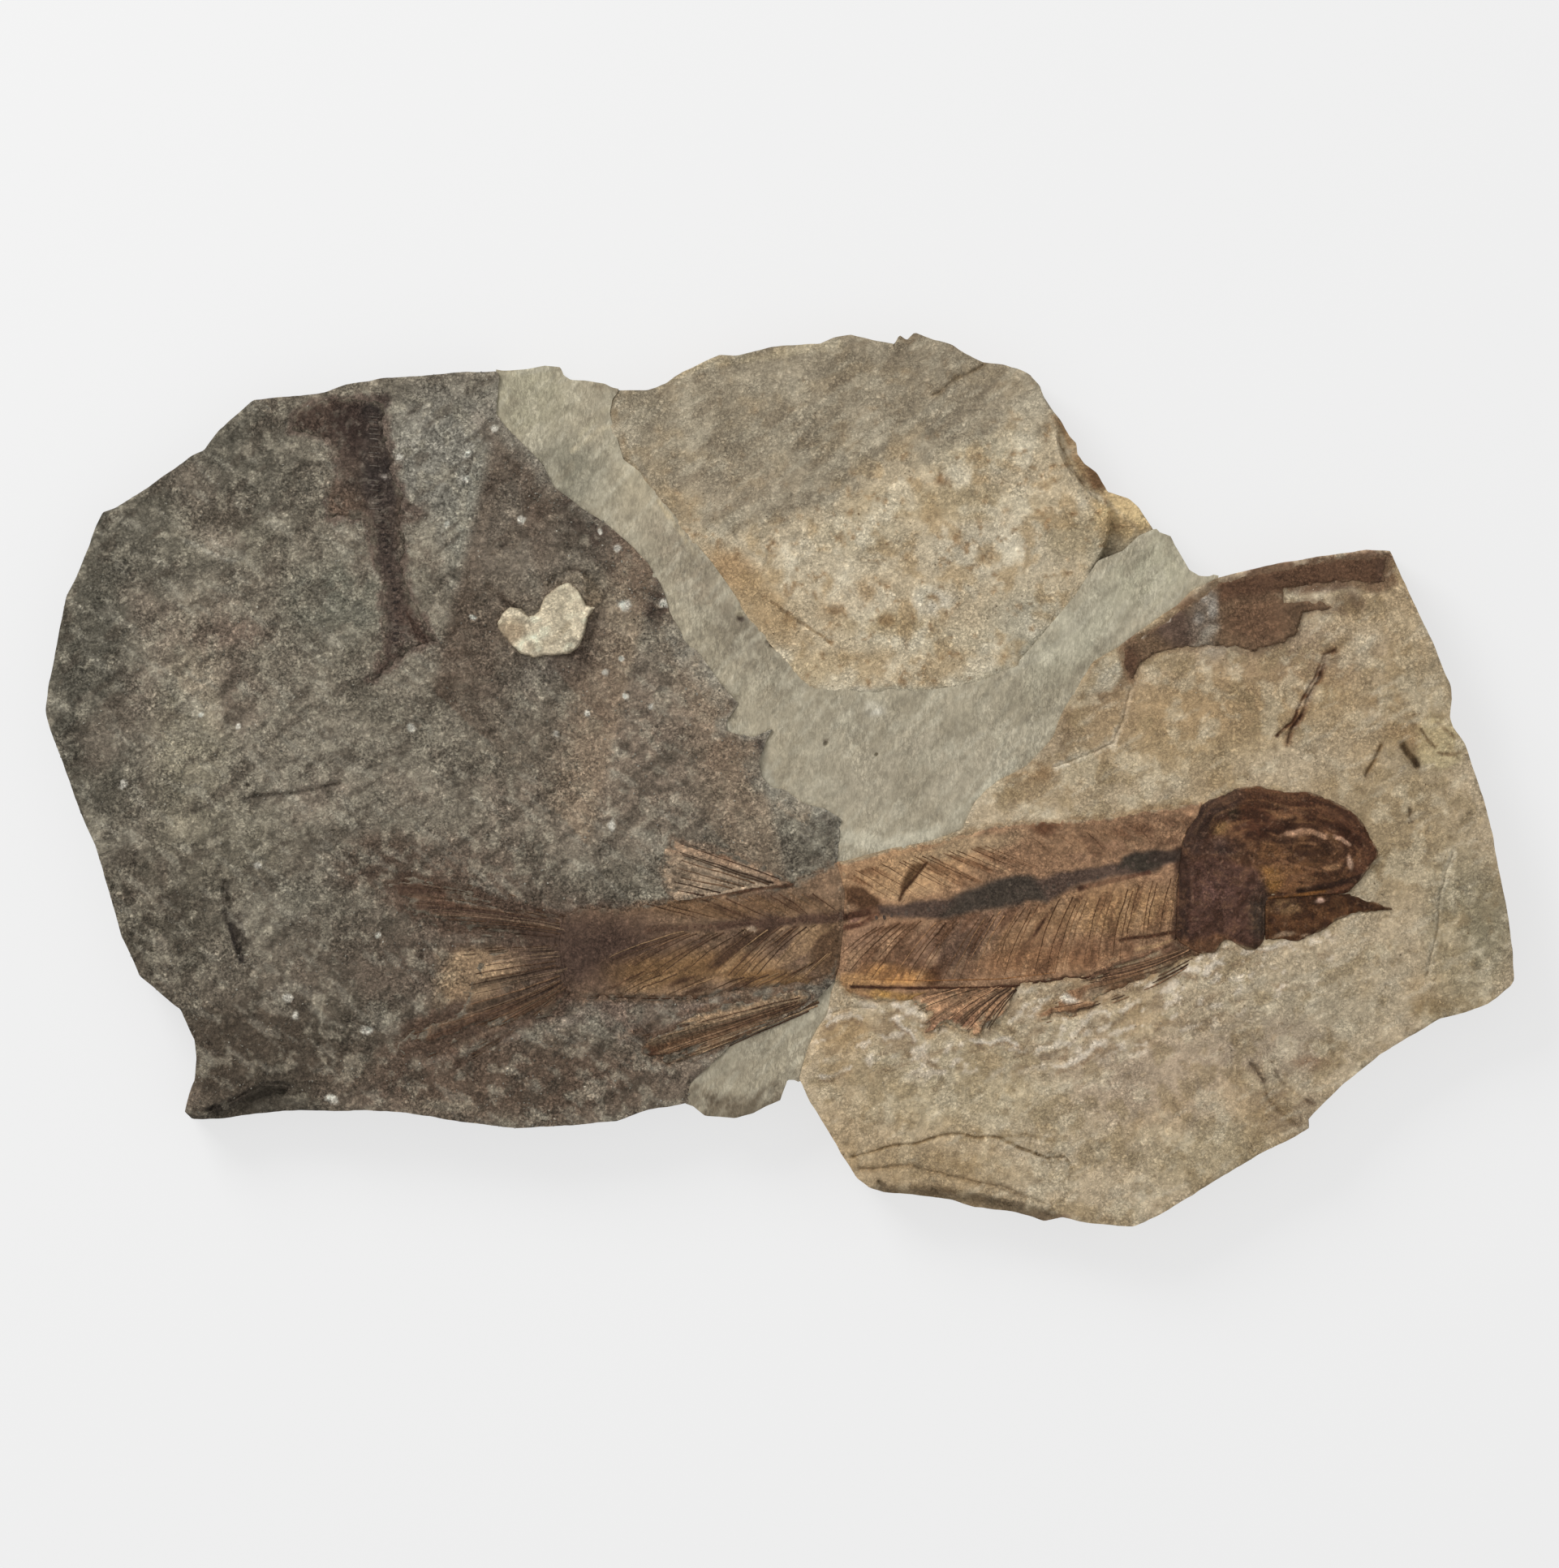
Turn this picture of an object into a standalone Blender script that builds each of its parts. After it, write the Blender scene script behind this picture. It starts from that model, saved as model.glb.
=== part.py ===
"""Fossil fish slab: three broken plates of split stone set in cement, with one fossil fish in low
relief across two of them.

The slab lies on its flat back. +X runs along its length toward the fish's head, +Y toward the
fish's back, and +Z is up. The origin is the middle of the flat back's bounding box.
"""
import math
import random

import bmesh
import bpy
from mathutils import Vector
from mathutils.geometry import delaunay_2d_cdt

# Driving dimensions, in metres
SLAB_LENGTH = 0.452
FISH_PLATE_THICKNESS = 0.018
UPPER_PLATE_THICKNESS = 0.0172
CEMENT_THICKNESS = 0.0166
GAP = 0.0003
EDGE_BREAK = 0.0009
FILM = 0.0006
FILM_BEVEL = 0.0003
RIB_PITCH = 0.0023
RIB_RISE = 0.0005
RIB_STEP = 0.0048
RIB_REACH = 0.045
BACKBONE_RISE = 0.0013
SKULL_RISE = 0.0022
LEDGE_RUN = 0.0004
CLEARANCE = 0.0005

# The outlines below are traced on a square grid of cells, with x to the right and y down. The slab
# is TRACE_LENGTH cells long there, and its middle is at TRACE_MIDDLE.
TRACE_LENGTH = 1808
TRACE_MIDDLE = (961, 960.5)
CELL = SLAB_LENGTH / TRACE_LENGTH

# Joints between the plates and the cement
DARK_TO_TAN = [(1031, 1063), (1037, 1084), (1041, 1099), (1039, 1143), (1034, 1191), (1030, 1207)]
DARK_TO_LOWER_FILL = [
    (1030, 1207), (1010, 1228), (985, 1245), (950, 1262), (905, 1282), (890, 1298), (868, 1318),
    (850, 1335), (848, 1358)]
TAN_TO_LOWER_FILL = [
    (1030, 1207), (1024, 1225), (1019, 1250), (1007, 1266), (996, 1289), (990, 1310), (985, 1330)]
DARK_TO_CEMENT = [
    (1031, 1063), (1034, 1030), (1037, 1009), (1017, 997), (991, 990), (968, 974), (950, 970),
    (938, 958), (935, 938), (945, 911), (952, 898), (929, 908), (906, 904), (895, 900), (895, 888),
    (910, 867), (887, 842), (864, 808), (839, 779), (825, 754), (816, 725), (800, 696), (781, 675),
    (745, 644), (718, 627), (683, 600), (670, 575), (650, 552), (623, 527), (612, 511), (616, 465),
    (613, 458)]
UPPER_TO_CEMENT = [
    (760, 481), (752, 490), (748, 511), (754, 533), (766, 569), (787, 585), (806, 610), (829, 638),
    (852, 669), (875, 696), (900, 731), (925, 769), (950, 796), (975, 827), (1002, 852), (1050, 853),
    (1150, 853), (1185, 848), (1215, 840), (1250, 825), (1288, 782), (1327, 736), (1354, 694),
    (1385, 682), (1404, 663), (1423, 655)]
TAN_TO_CEMENT = [
    (1500, 712), (1467, 728), (1450, 746), (1427, 761), (1400, 780), (1371, 801), (1346, 815),
    (1321, 855), (1307, 882), (1296, 910), (1265, 944), (1227, 963), (1200, 989), (1186, 1022),
    (1150, 1035), (1100, 1049), (1031, 1063)]

# Free edges of the slab
DARK_FREE_EDGE = [
    (613, 458), (570, 459), (530, 463), (470, 467), (425, 475), (400, 484), (350, 490), (313, 493),
    (271, 530), (252, 555), (236, 562), (217, 577), (179, 604), (144, 626), (128, 632), (119, 649),
    (100, 701), (82, 736), (76, 770), (61, 848), (57, 875), (64, 901), (80, 944), (100, 1001),
    (118, 1040), (133, 1089), (151, 1154), (173, 1202), (200, 1225), (223, 1244), (240, 1281),
    (243, 1304), (241, 1331), (234, 1348), (229, 1369), (237, 1379), (267, 1379), (301, 1375),
    (350, 1369), (450, 1368), (500, 1370), (550, 1379), (600, 1385), (636, 1390), (700, 1386),
    (760, 1381), (800, 1367), (829, 1362), (848, 1358)]
LOWER_FILL_FREE_EDGE = [
    (848, 1358), (869, 1374), (906, 1377), (928, 1371), (947, 1361), (962, 1355), (970, 1330),
    (985, 1330)]
TAN_FREE_EDGE = [
    (985, 1330), (1000, 1360), (1015, 1384), (1035, 1419), (1056, 1451), (1071, 1462), (1090, 1469),
    (1130, 1473), (1172, 1478), (1200, 1488), (1250, 1493), (1287, 1505), (1308, 1499), (1340, 1506),
    (1371, 1509), (1395, 1511), (1425, 1497), (1450, 1483), (1500, 1452), (1550, 1422), (1596, 1400),
    (1612, 1389), (1612, 1378), (1622, 1368), (1654, 1335), (1700, 1299), (1749, 1269), (1773, 1255),
    (1800, 1248), (1832, 1237), (1860, 1215), (1865, 1207), (1863, 1180), (1858, 1132), (1845, 1066),
    (1839, 1031), (1830, 996), (1820, 964), (1804, 917), (1789, 896), (1785, 882), (1788, 861),
    (1786, 845), (1767, 797), (1739, 739), (1719, 694), (1712, 679), (1682, 678), (1650, 682),
    (1600, 690), (1560, 697), (1521, 706), (1500, 712)]
CEMENT_RIGHT_EDGE = [
    (1500, 712), (1477, 710), (1465, 703), (1448, 673), (1442, 661), (1423, 655)]
UPPER_FREE_EDGE = [
    (1423, 655), (1404, 625), (1392, 613), (1365, 605), (1352, 582), (1338, 571), (1329, 559),
    (1327, 546), (1319, 536), (1308, 517), (1296, 503), (1286, 490), (1281, 475), (1269, 463),
    (1254, 455), (1238, 450), (1211, 447), (1192, 438), (1173, 425), (1150, 419), (1127, 410),
    (1117, 419), (1108, 413), (1102, 424), (1071, 419), (1048, 413), (1029, 416), (1010, 424),
    (979, 425), (948, 429), (906, 439), (887, 438), (868, 446), (833, 463), (821, 473), (798, 481),
    (760, 481)]
CEMENT_TOP_EDGE = [
    (760, 481), (745, 473), (725, 470), (704, 469), (695, 463), (691, 453), (671, 451), (652, 455),
    (613, 458)]

# Where a plate's top layer has broken away, and how far down
UPPER_LEDGE = [
    (1290, 488), (1298, 517), (1300, 544), (1308, 571), (1319, 586), (1335, 605), (1363, 625),
    (1363, 651), (1358, 672), (1352, 700), (1440, 700), (1440, 600), (1340, 500)]
UPPER_LEDGE_DEPTH = 0.005
TAN_BOTTOM_LEDGE = [
    (1080, 1448), (1100, 1460), (1150, 1458), (1200, 1467), (1250, 1478), (1300, 1492), (1320, 1530),
    (1080, 1530)]
TAN_BOTTOM_LEDGE_DEPTH = 0.003
DARK_CORNER_LEDGE = [
    (220, 1372), (255, 1370), (300, 1350), (330, 1335), (358, 1338), (380, 1400), (220, 1400)]
DARK_CORNER_LEDGE_DEPTH = 0.003
DARK_CRESCENT = [
    (278, 1088), (276, 1110), (282, 1135), (290, 1152), (300, 1180), (302, 1150), (292, 1125),
    (288, 1105)]
CRESCENT_DEPTH = 0.0012
PIT_DEPTH = 0.0014
DARK_PITS = [(393, 1286, 5), (140, 1095, 5)]
CEMENT_PITS = [(913, 760, 5), (953, 795, 4), (1018, 917, 4)]

# The fish: shared seams first, then what closes each piece's outline
GILL_EDGE = [
    (1480, 989), (1475, 1005), (1462, 1022), (1456, 1038), (1450, 1092), (1449, 1135), (1447, 1158)]
FRONT_BELLY_AT_FIN = [(1447, 1158), (1407, 1176), (1370, 1187), (1342, 1204)]
FRONT_BELLY_AT_PELVIC = [(1250, 1216), (1200, 1217), (1150, 1219), (1124, 1229)]
FRONT_UPPER_CONTOUR = [
    (1042, 1062), (1096, 1047), (1159, 1036), (1215, 1019), (1271, 1013), (1328, 1010), (1373, 1006),
    (1423, 997), (1480, 989)]
FRONT_REAR_BELLY = [(1124, 1229), (1110, 1233), (1080, 1233), (1045, 1225), (1030, 1207)]
DORSAL_SEAM = [(975, 1089), (927, 1094), (892, 1101), (862, 1106), (835, 1108)]
STALK_UPPER_CONTOUR = [(793, 1115), (766, 1119), (720, 1118)]
TAIL_SEAM = [(695, 1132), (690, 1160), (693, 1190), (701, 1220)]
REAR_LOWER_CONTOUR = [
    (701, 1220), (720, 1230), (766, 1230), (816, 1231), (858, 1230), (927, 1220), (995, 1213),
    (1026, 1204)]
DORSAL_FREE_EDGE = [
    (835, 1108), (823, 1099), (816, 1073), (819, 1053), (828, 1030), (881, 1041), (915, 1055),
    (940, 1067), (972, 1085), (975, 1089)]
ANAL_OUTLINE = [
    (1000, 1227), (984, 1220), (940, 1227), (881, 1239), (835, 1264), (805, 1275), (793, 1295),
    (805, 1301), (823, 1308), (881, 1292), (915, 1278), (950, 1259), (993, 1235)]
TAIL_FREE_EDGE = [
    (701, 1220), (685, 1248), (624, 1262), (583, 1279), (562, 1291), (522, 1299), (501, 1299),
    (491, 1289), (522, 1260), (556, 1240), (560, 1215), (590, 1180), (640, 1168), (634, 1154),
    (583, 1151), (542, 1142), (511, 1126), (481, 1101), (477, 1086), (511, 1077), (532, 1081),
    (562, 1093), (613, 1109), (664, 1122), (695, 1132)]
PECTORAL_FREE_EDGE = [
    (1342, 1204), (1312, 1220), (1285, 1240), (1276, 1249), (1284, 1255), (1300, 1252), (1325, 1251),
    (1342, 1243), (1356, 1232), (1384, 1218), (1412, 1206), (1440, 1190), (1462, 1181), (1478, 1176)]
PELVIC_FREE_EDGE = [
    (1124, 1229), (1144, 1249), (1137, 1275), (1152, 1277), (1159, 1262), (1196, 1273), (1204, 1273),
    (1215, 1257), (1228, 1253), (1241, 1240), (1250, 1216)]
SKULL_FREE_EDGE = [
    (1478, 1176), (1500, 1174), (1504, 1158), (1512, 1155), (1527, 1165), (1540, 1174), (1549, 1170),
    (1558, 1158)]
JAW_SEAM = [(1558, 1158), (1558, 1108), (1610, 1104), (1662, 1101)]
SKULL_FRONT_EDGE = [
    (1662, 1101), (1673, 1087), (1684, 1070), (1694, 1063), (1699, 1048), (1692, 1038), (1681, 1020),
    (1673, 1005), (1651, 991), (1629, 981), (1608, 975), (1582, 976), (1566, 971), (1547, 968),
    (1521, 971), (1501, 981), (1480, 989)]
JAW_FREE_EDGE = [
    (1662, 1101), (1716, 1120), (1694, 1124), (1673, 1124), (1647, 1133), (1636, 1142), (1618, 1151),
    (1597, 1159), (1558, 1158)]

# The backbone's middle line and the width of its vertebrae, in cells
FRONT_BACKBONE = [
    (1040, 1131), (1080, 1122), (1128, 1117), (1172, 1112), (1215, 1099), (1248, 1095), (1291, 1086),
    (1334, 1077), (1384, 1063), (1426, 1055), (1450, 1049)]
REAR_BACKBONE = [
    (700, 1172), (780, 1160), (860, 1150), (920, 1144), (960, 1140), (1000, 1137), (1032, 1132)]
VERTEBRA_HALF_WIDTH = 10
# How far the ribs lean back from square, in degrees, at the tail end and at the head end
FRONT_RIB_LEAN = (42, 6)
REAR_RIB_LEAN = (74, 52)

# Smaller fossils and the flake
FLAKE_OUTLINE = [
    (610, 769), (618, 756), (629, 748), (643, 750), (652, 760), (664, 754), (671, 736), (687, 723),
    (702, 717), (714, 729), (723, 746), (737, 748), (725, 761), (721, 781), (714, 798), (702, 806),
    (683, 808), (658, 811), (641, 806), (627, 792), (618, 781)]
FLAKE_THICKNESS = 0.002
SECOND_FOSSIL_OUTLINE = [
    (410, 492), (367, 505), (359, 532), (375, 536), (402, 540), (415, 560), (417, 586), (402, 610),
    (403, 640), (448, 640), (457, 660), (461, 690), (471, 717), (473, 748), (473, 786), (470, 813),
    (455, 838), (482, 826), (500, 802), (540, 790), (528, 768), (511, 744), (501, 717), (498, 690),
    (496, 640), (501, 613), (488, 594), (484, 567), (478, 540), (474, 500), (440, 488)]
SECOND_BACKBONE = [(462, 505), (463, 560), (466, 632), (478, 690), (486, 750), (484, 806)]
SECOND_VERTEBRA_HALF_WIDTH = 7
BONE_PATCH_OUTLINE = [
    (1379, 800), (1402, 786), (1452, 751), (1502, 718), (1560, 703), (1650, 688), (1708, 685),
    (1706, 717), (1688, 723), (1666, 717), (1625, 722), (1582, 728), (1584, 742), (1625, 740),
    (1663, 757), (1637, 752), (1605, 758), (1599, 781), (1579, 794), (1544, 805), (1503, 797),
    (1438, 803), (1404, 817), (1396, 840), (1385, 828)]


def at(cell):
    """A traced cell's place on the slab, in metres."""
    return (Vector(cell) - Vector(TRACE_MIDDLE)) * Vector((CELL, -CELL))


def trace(*stretches):
    """One anticlockwise outline from stretches that follow each other, without repeated ends."""
    loop = []
    for stretch in stretches:
        loop.extend(at(cell) for cell in stretch)
    loop = [p for i, p in enumerate(loop) if (p - loop[i - 1]).length > CELL]
    area = sum(a.cross(b) for a, b in zip(loop, loop[1:] + loop[:1]))
    return loop if area > 0 else loop[::-1]


def moved_in(loop, amounts):
    """The loop with each point moved inward, square to its two edges, by its own amount."""
    result = []
    for i, point in enumerate(loop):
        before = (point - loop[i - 1]).normalized()
        after = (loop[(i + 1) % len(loop)] - point).normalized()
        inward = Vector((-before.y - after.y, before.x + after.x))
        if inward.length < 0.1:
            inward = Vector((-after.y, after.x))
        reach = min(2.5, 2 / max(inward.length, 0.1))
        result.append(point + inward.normalized() * amounts[i] * reach)
    return result


def edge_distance(point, loop):
    """Distance from a point to the loop's nearest edge."""
    best = math.inf
    for a, b in zip(loop, loop[1:] + loop[:1]):
        run = b - a
        along = max(0.0, min(1.0, (point - a).dot(run) / run.length_squared))
        best = min(best, (point - a - run * along).length)
    return best


def inside(point, loop):
    """Whether a point is inside the loop, by counting the edges that a ray crosses."""
    crossings = 0
    for a, b in zip(loop, loop[1:] + loop[:1]):
        if (a.y > point.y) != (b.y > point.y):
            crossings += point.x < a.x + (point.y - a.y) / (b.y - a.y) * (b.x - a.x)
    return crossings % 2 == 1


def walk(path, step):
    """Points along a path at an even step, each with the path's direction there."""
    stations = []
    left = step / 2
    for a, b in zip(path, path[1:]):
        run = b - a
        while left < run.length:
            stations.append((a + run.normalized() * left, run.normalized()))
            left += step
        left -= run.length
    return stations


def stone(name, colour, roughness=0.85):
    """A plain Principled material."""
    material = bpy.data.materials.new(name)
    material.use_nodes = True
    shader = material.node_tree.nodes["Principled BSDF"]
    shader.inputs["Base Color"].default_value = (*colour, 1)
    shader.inputs["Roughness"].default_value = roughness
    shader.inputs["Metallic"].default_value = 0
    return material


def clear_marks(marks, loop):
    """The marks that lie well inside the loop and not too near an earlier mark."""
    kept = []
    for mark in marks:
        place = Vector(mark[:2])
        if not inside(place, loop) or edge_distance(place, loop) < CLEARANCE:
            continue
        if all((place - Vector(other[:2])).length > CLEARANCE for other in kept):
            kept.append(mark)
    return kept


def cast(name, rings, marks, material):
    """One closed solid: a flat base, sides through the rings, and a top through the marks.

    Each ring is a list of (x, y, z) points, the lowest first, all with the same count. The marks
    are (x, y, z) points on the top.
    """
    mesh = bmesh.new()
    loops = [[mesh.verts.new(point) for point in ring] for ring in rings]
    mesh.faces.new(loops[0][::-1])
    count = len(loops[0])
    for lower, upper in zip(loops, loops[1:]):
        for i in range(count):
            j = (i + 1) % count
            mesh.faces.new((lower[i], lower[j], upper[j], upper[i]))
    rim = [Vector(point[:2]) for point in rings[-1]]
    marks = clear_marks(marks, rim)
    flat = rim + [Vector(mark[:2]) for mark in marks]
    top = loops[-1] + [mesh.verts.new(mark) for mark in marks]
    found, _, triangles, origins, _, _ = delaunay_2d_cdt(flat, [], [list(range(count))], 1, 1e-9)
    source = [origin[0] for origin in origins]
    for triangle in triangles:
        mesh.faces.new([top[source[corner]] for corner in triangle])
    bmesh.ops.recalc_face_normals(mesh, faces=mesh.faces)
    data = bpy.data.meshes.new(name)
    mesh.to_mesh(data)
    mesh.free()
    data.materials.append(material)
    body = bpy.data.objects.new(name, data)
    bpy.context.scene.collection.objects.link(body)
    return body


def shelf_drop(point, shelves):
    """How far the top is down at a point, from the shelves whose outlines hold it."""
    return max([depth for outline, depth in shelves if inside(point, outline)], default=0.0)


def shelf_marks(shelves, height):
    """Pairs of marks along each shelf's outline: one on the high side and one on the low side."""
    marks = []
    for outline, depth in shelves:
        low = moved_in(outline, [LEDGE_RUN] * len(outline))
        high = moved_in(outline, [-LEDGE_RUN] * len(outline))
        marks += [(*point, height - depth) for point in low]
        marks += [(*point, height) for point in high]
    return marks


def pit(cell_x, cell_y, radius):
    """The outline of a round pit, with its radius in cells."""
    middle = at((cell_x, cell_y))
    turns = [math.tau * k / 7 for k in range(7)]
    return [middle + Vector((math.cos(turn), math.sin(turn))) * radius * CELL for turn in turns]


def plate(name, joint_stretches, free_edge, height, shelves, material, seed):
    """A slab of stone: sheer at its joints, and broken in uneven layers along its free edge."""
    noise = random.Random(seed)
    outline = trace(*joint_stretches, free_edge)
    free = [at(cell) for cell in free_edge[1:-1]]
    loose = [any((point - other).length < CELL / 2 for other in free) for point in outline]
    outline = moved_in(outline, [GAP / 2] * len(outline))
    layers = [(0, 1.0), (0.3, 0.6), (0.55, 0.0), (0.8, 0.5), (0.95, 0.3), (1, 1.0)]
    rings = []
    for share, depth in layers:
        amounts = []
        for is_loose in loose:
            break_in = EDGE_BREAK * depth * noise.uniform(0.5, 1.2)
            amounts.append(break_in if is_loose else 0.0)
        ring = moved_in(outline, amounts)
        rings.append([(*p, share * (height - shelf_drop(q, shelves))) for p, q in zip(ring, outline)])
    return cast(name, rings, shelf_marks(shelves, height), material)


def film(name, outline, marks, material, base=FISH_PLATE_THICKNESS + GAP, thickness=FILM):
    """A fossil in low relief: a thin closed solid with a bevelled edge, raised by its marks."""
    foot = moved_in(outline, [GAP / 2] * len(outline))
    rim = moved_in(foot, [FILM_BEVEL] * len(foot))
    rings = [[(*point, base) for point in foot], [(*point, base + thickness) for point in rim]]
    lifted = [(x, y, base + thickness + rise) for x, y, rise in marks]
    return cast(name, rings, lifted, material)


def backbone_marks(path, half_width):
    """Vertebrae: a ridge down the middle that rises at each bone and dips between two."""
    marks = []
    for i, (place, along) in enumerate(walk(path, RIB_PITCH / 2)):
        side = Vector((-along.y, along.x)) * half_width * CELL
        crown = BACKBONE_RISE if i % 2 else BACKBONE_RISE * 0.6
        marks.append((*place, crown))
        for edge in (place + side, place - side):
            marks.append((*edge, BACKBONE_RISE * 0.3))
    return marks


def rib_marks(path, half_width, lean):
    """Ribs on both sides of the backbone, leaning back toward the tail by an angle that changes
    from the tail end to the head end. Every second line of marks is a rib, and the rest are gaps."""
    marks = []
    stations = walk(path, RIB_PITCH / 2)
    for i, (place, _) in enumerate(stations):
        share = i / len(stations)
        angle = math.radians(lean[0] + (lean[1] - lean[0]) * share)
        rise = RIB_RISE if i % 2 else 0.0
        for side in (1, -1):
            direction = Vector((-math.sin(angle), side * math.cos(angle)))
            distance = half_width * CELL + RIB_STEP / 2
            while distance < RIB_REACH:
                marks.append((*(place + direction * distance), rise))
                distance += RIB_STEP
    return marks


def ray_marks(roots, tips, rays):
    """Fin rays from points along one path to points along another."""
    marks = []
    lines = rays * 2 + 1
    starts = evenly(roots, lines)
    ends = evenly(tips, lines)
    for i, (start, end) in enumerate(zip(starts, ends)):
        rise = RIB_RISE if i % 2 else 0.0
        steps = max(2, round((end - start).length / RIB_STEP))
        marks += [(*start.lerp(end, k / steps), rise) for k in range(steps + 1)]
    return marks


def evenly(path, count):
    """So many points spread evenly along a path, its ends included."""
    lengths = [(b - a).length for a, b in zip(path, path[1:])]
    total = sum(lengths)
    points = []
    for k in range(count):
        left = total * k / (count - 1)
        for a, b, length in zip(path, path[1:], lengths):
            if left <= length or b is path[-1]:
                points.append(a.lerp(b, min(1.0, left / length)))
                break
            left -= length
    return points


def path(cells):
    """A traced path in metres."""
    return [at(cell) for cell in cells]


def build_plates():
    """The three plates and the two fills of cement."""
    dark_shelves = [(trace(DARK_CRESCENT), CRESCENT_DEPTH)]
    dark_shelves += [(trace(DARK_CORNER_LEDGE), DARK_CORNER_LEDGE_DEPTH)]
    dark_shelves += [(pit(*place), PIT_DEPTH) for place in DARK_PITS]
    plate("dark_slate_plate", [DARK_TO_LOWER_FILL[::-1], DARK_TO_TAN[::-1], DARK_TO_CEMENT],
          DARK_FREE_EDGE, FISH_PLATE_THICKNESS, dark_shelves,
          stone("dark_slate", (0.15, 0.13, 0.10)), seed=11)
    plate("tan_limestone_plate", [TAN_TO_CEMENT, DARK_TO_TAN, TAN_TO_LOWER_FILL], TAN_FREE_EDGE,
          FISH_PLATE_THICKNESS, [(trace(TAN_BOTTOM_LEDGE), TAN_BOTTOM_LEDGE_DEPTH)],
          stone("tan_limestone", (0.42, 0.34, 0.23)), seed=12)
    plate("mottled_upper_plate", [UPPER_TO_CEMENT], UPPER_FREE_EDGE, UPPER_PLATE_THICKNESS,
          [(trace(UPPER_LEDGE), UPPER_LEDGE_DEPTH)],
          stone("mottled_limestone", (0.45, 0.37, 0.27)), seed=13)
    plate("grey_cement_joint",
          [UPPER_TO_CEMENT, CEMENT_RIGHT_EDGE[::-1], TAN_TO_CEMENT, DARK_TO_CEMENT],
          CEMENT_TOP_EDGE[::-1], CEMENT_THICKNESS,
          [(pit(*place), PIT_DEPTH) for place in CEMENT_PITS],
          stone("cement", (0.36, 0.32, 0.24), 0.8), seed=14)
    plate("lower_cement_fill", [TAN_TO_LOWER_FILL[::-1], DARK_TO_LOWER_FILL], LOWER_FILL_FREE_EDGE,
          CEMENT_THICKNESS, [], stone("lower_cement", (0.30, 0.26, 0.18), 0.8), seed=15)


def build_trunk():
    """The fish's trunk in two pieces, one on each side of the joint between the plates."""
    brown = stone("fossil_trunk", (0.22, 0.13, 0.07), 0.6)
    front = trace(FRONT_UPPER_CONTOUR, GILL_EDGE, FRONT_BELLY_AT_FIN, FRONT_BELLY_AT_PELVIC,
                  FRONT_REAR_BELLY, DARK_TO_TAN[::-1])
    spine = path(FRONT_BACKBONE)
    marks = backbone_marks(spine, VERTEBRA_HALF_WIDTH)
    marks += rib_marks(spine, VERTEBRA_HALF_WIDTH, FRONT_RIB_LEAN)
    film("fish_trunk_front", front, marks, brown)
    rear = trace(DARK_TO_TAN[:1], DORSAL_SEAM, STALK_UPPER_CONTOUR, TAIL_SEAM, REAR_LOWER_CONTOUR,
                 DARK_TO_TAN[4:0:-1])
    spine = path(REAR_BACKBONE)
    marks = backbone_marks(spine, VERTEBRA_HALF_WIDTH)
    marks += rib_marks(spine, VERTEBRA_HALF_WIDTH, REAR_RIB_LEAN)
    film("fish_trunk_rear", rear, marks, stone("fossil_rear", (0.18, 0.10, 0.06), 0.6))


def build_fins():
    """The five fins, each with its rays raised."""
    fin = stone("fossil_fin", (0.20, 0.13, 0.08), 0.6)
    film("fish_dorsal_fin", trace(DORSAL_SEAM, DORSAL_FREE_EDGE),
         ray_marks(path([(972, 1087), (850, 1104)]), path([(828, 1036), (818, 1060), (828, 1100)]), 7),
         fin)
    film("fish_anal_fin", trace(ANAL_OUTLINE),
         ray_marks(path([(990, 1224), (992, 1234)]), path([(885, 1240), (800, 1280), (822, 1304)]), 6),
         fin)
    film("fish_pectoral_fin", trace(FRONT_BELLY_AT_FIN, PECTORAL_FREE_EDGE),
         ray_marks(path([(1450, 1162), (1466, 1174)]),
                   path([(1340, 1208), (1282, 1246), (1320, 1250)]), 5), fin)
    film("fish_pelvic_fin", trace(FRONT_BELLY_AT_PELVIC, PELVIC_FREE_EDGE),
         ray_marks(path([(1246, 1219), (1240, 1224)]),
                   path([(1130, 1229), (1142, 1272), (1205, 1270)]), 6), fin)
    upper_lobe = ray_marks(path([(690, 1134), (687, 1160)]), path([(482, 1088), (560, 1146)]), 6)
    middle = ray_marks(path([(686, 1166), (690, 1190)]), path([(640, 1172), (575, 1210)]), 4)
    lower_lobe = ray_marks(path([(692, 1194), (697, 1222)]),
                           path([(562, 1240), (498, 1290), (560, 1288)]), 6)
    film("fish_tail_fin", trace(TAIL_SEAM, TAIL_FREE_EDGE), upper_lobe + middle + lower_lobe, fin)


def dome_marks(outline, rise, rim_rise, pitch):
    """A domed plate of bone: a raised rim inside the outline, then a swell over its middle."""
    marks = []
    for setback, height in ((0.0011, rim_rise), (0.0024, rim_rise * 0.45)):
        marks += [(*point, height) for point in moved_in(outline, [setback] * len(outline))]
    low = Vector((min(p.x for p in outline), min(p.y for p in outline)))
    high = Vector((max(p.x for p in outline), max(p.y for p in outline)))
    rows = round((high.y - low.y) / pitch)
    columns = round((high.x - low.x) / pitch)
    for row in range(rows):
        for column in range(columns):
            shift = 0.5 if row % 2 else 0.0
            place = low + Vector(((column + shift) * pitch, row * pitch))
            depth = edge_distance(place, outline)
            if depth > 0.003:
                swell = 1 - math.exp(-(depth - 0.003) / 0.007)
                groove = 0.25 * math.cos(place.x * 900) * math.cos(place.y * 700)
                marks.append((*place, rim_rise * 0.4 + rise * swell * (0.75 + groove)))
    return marks


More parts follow.
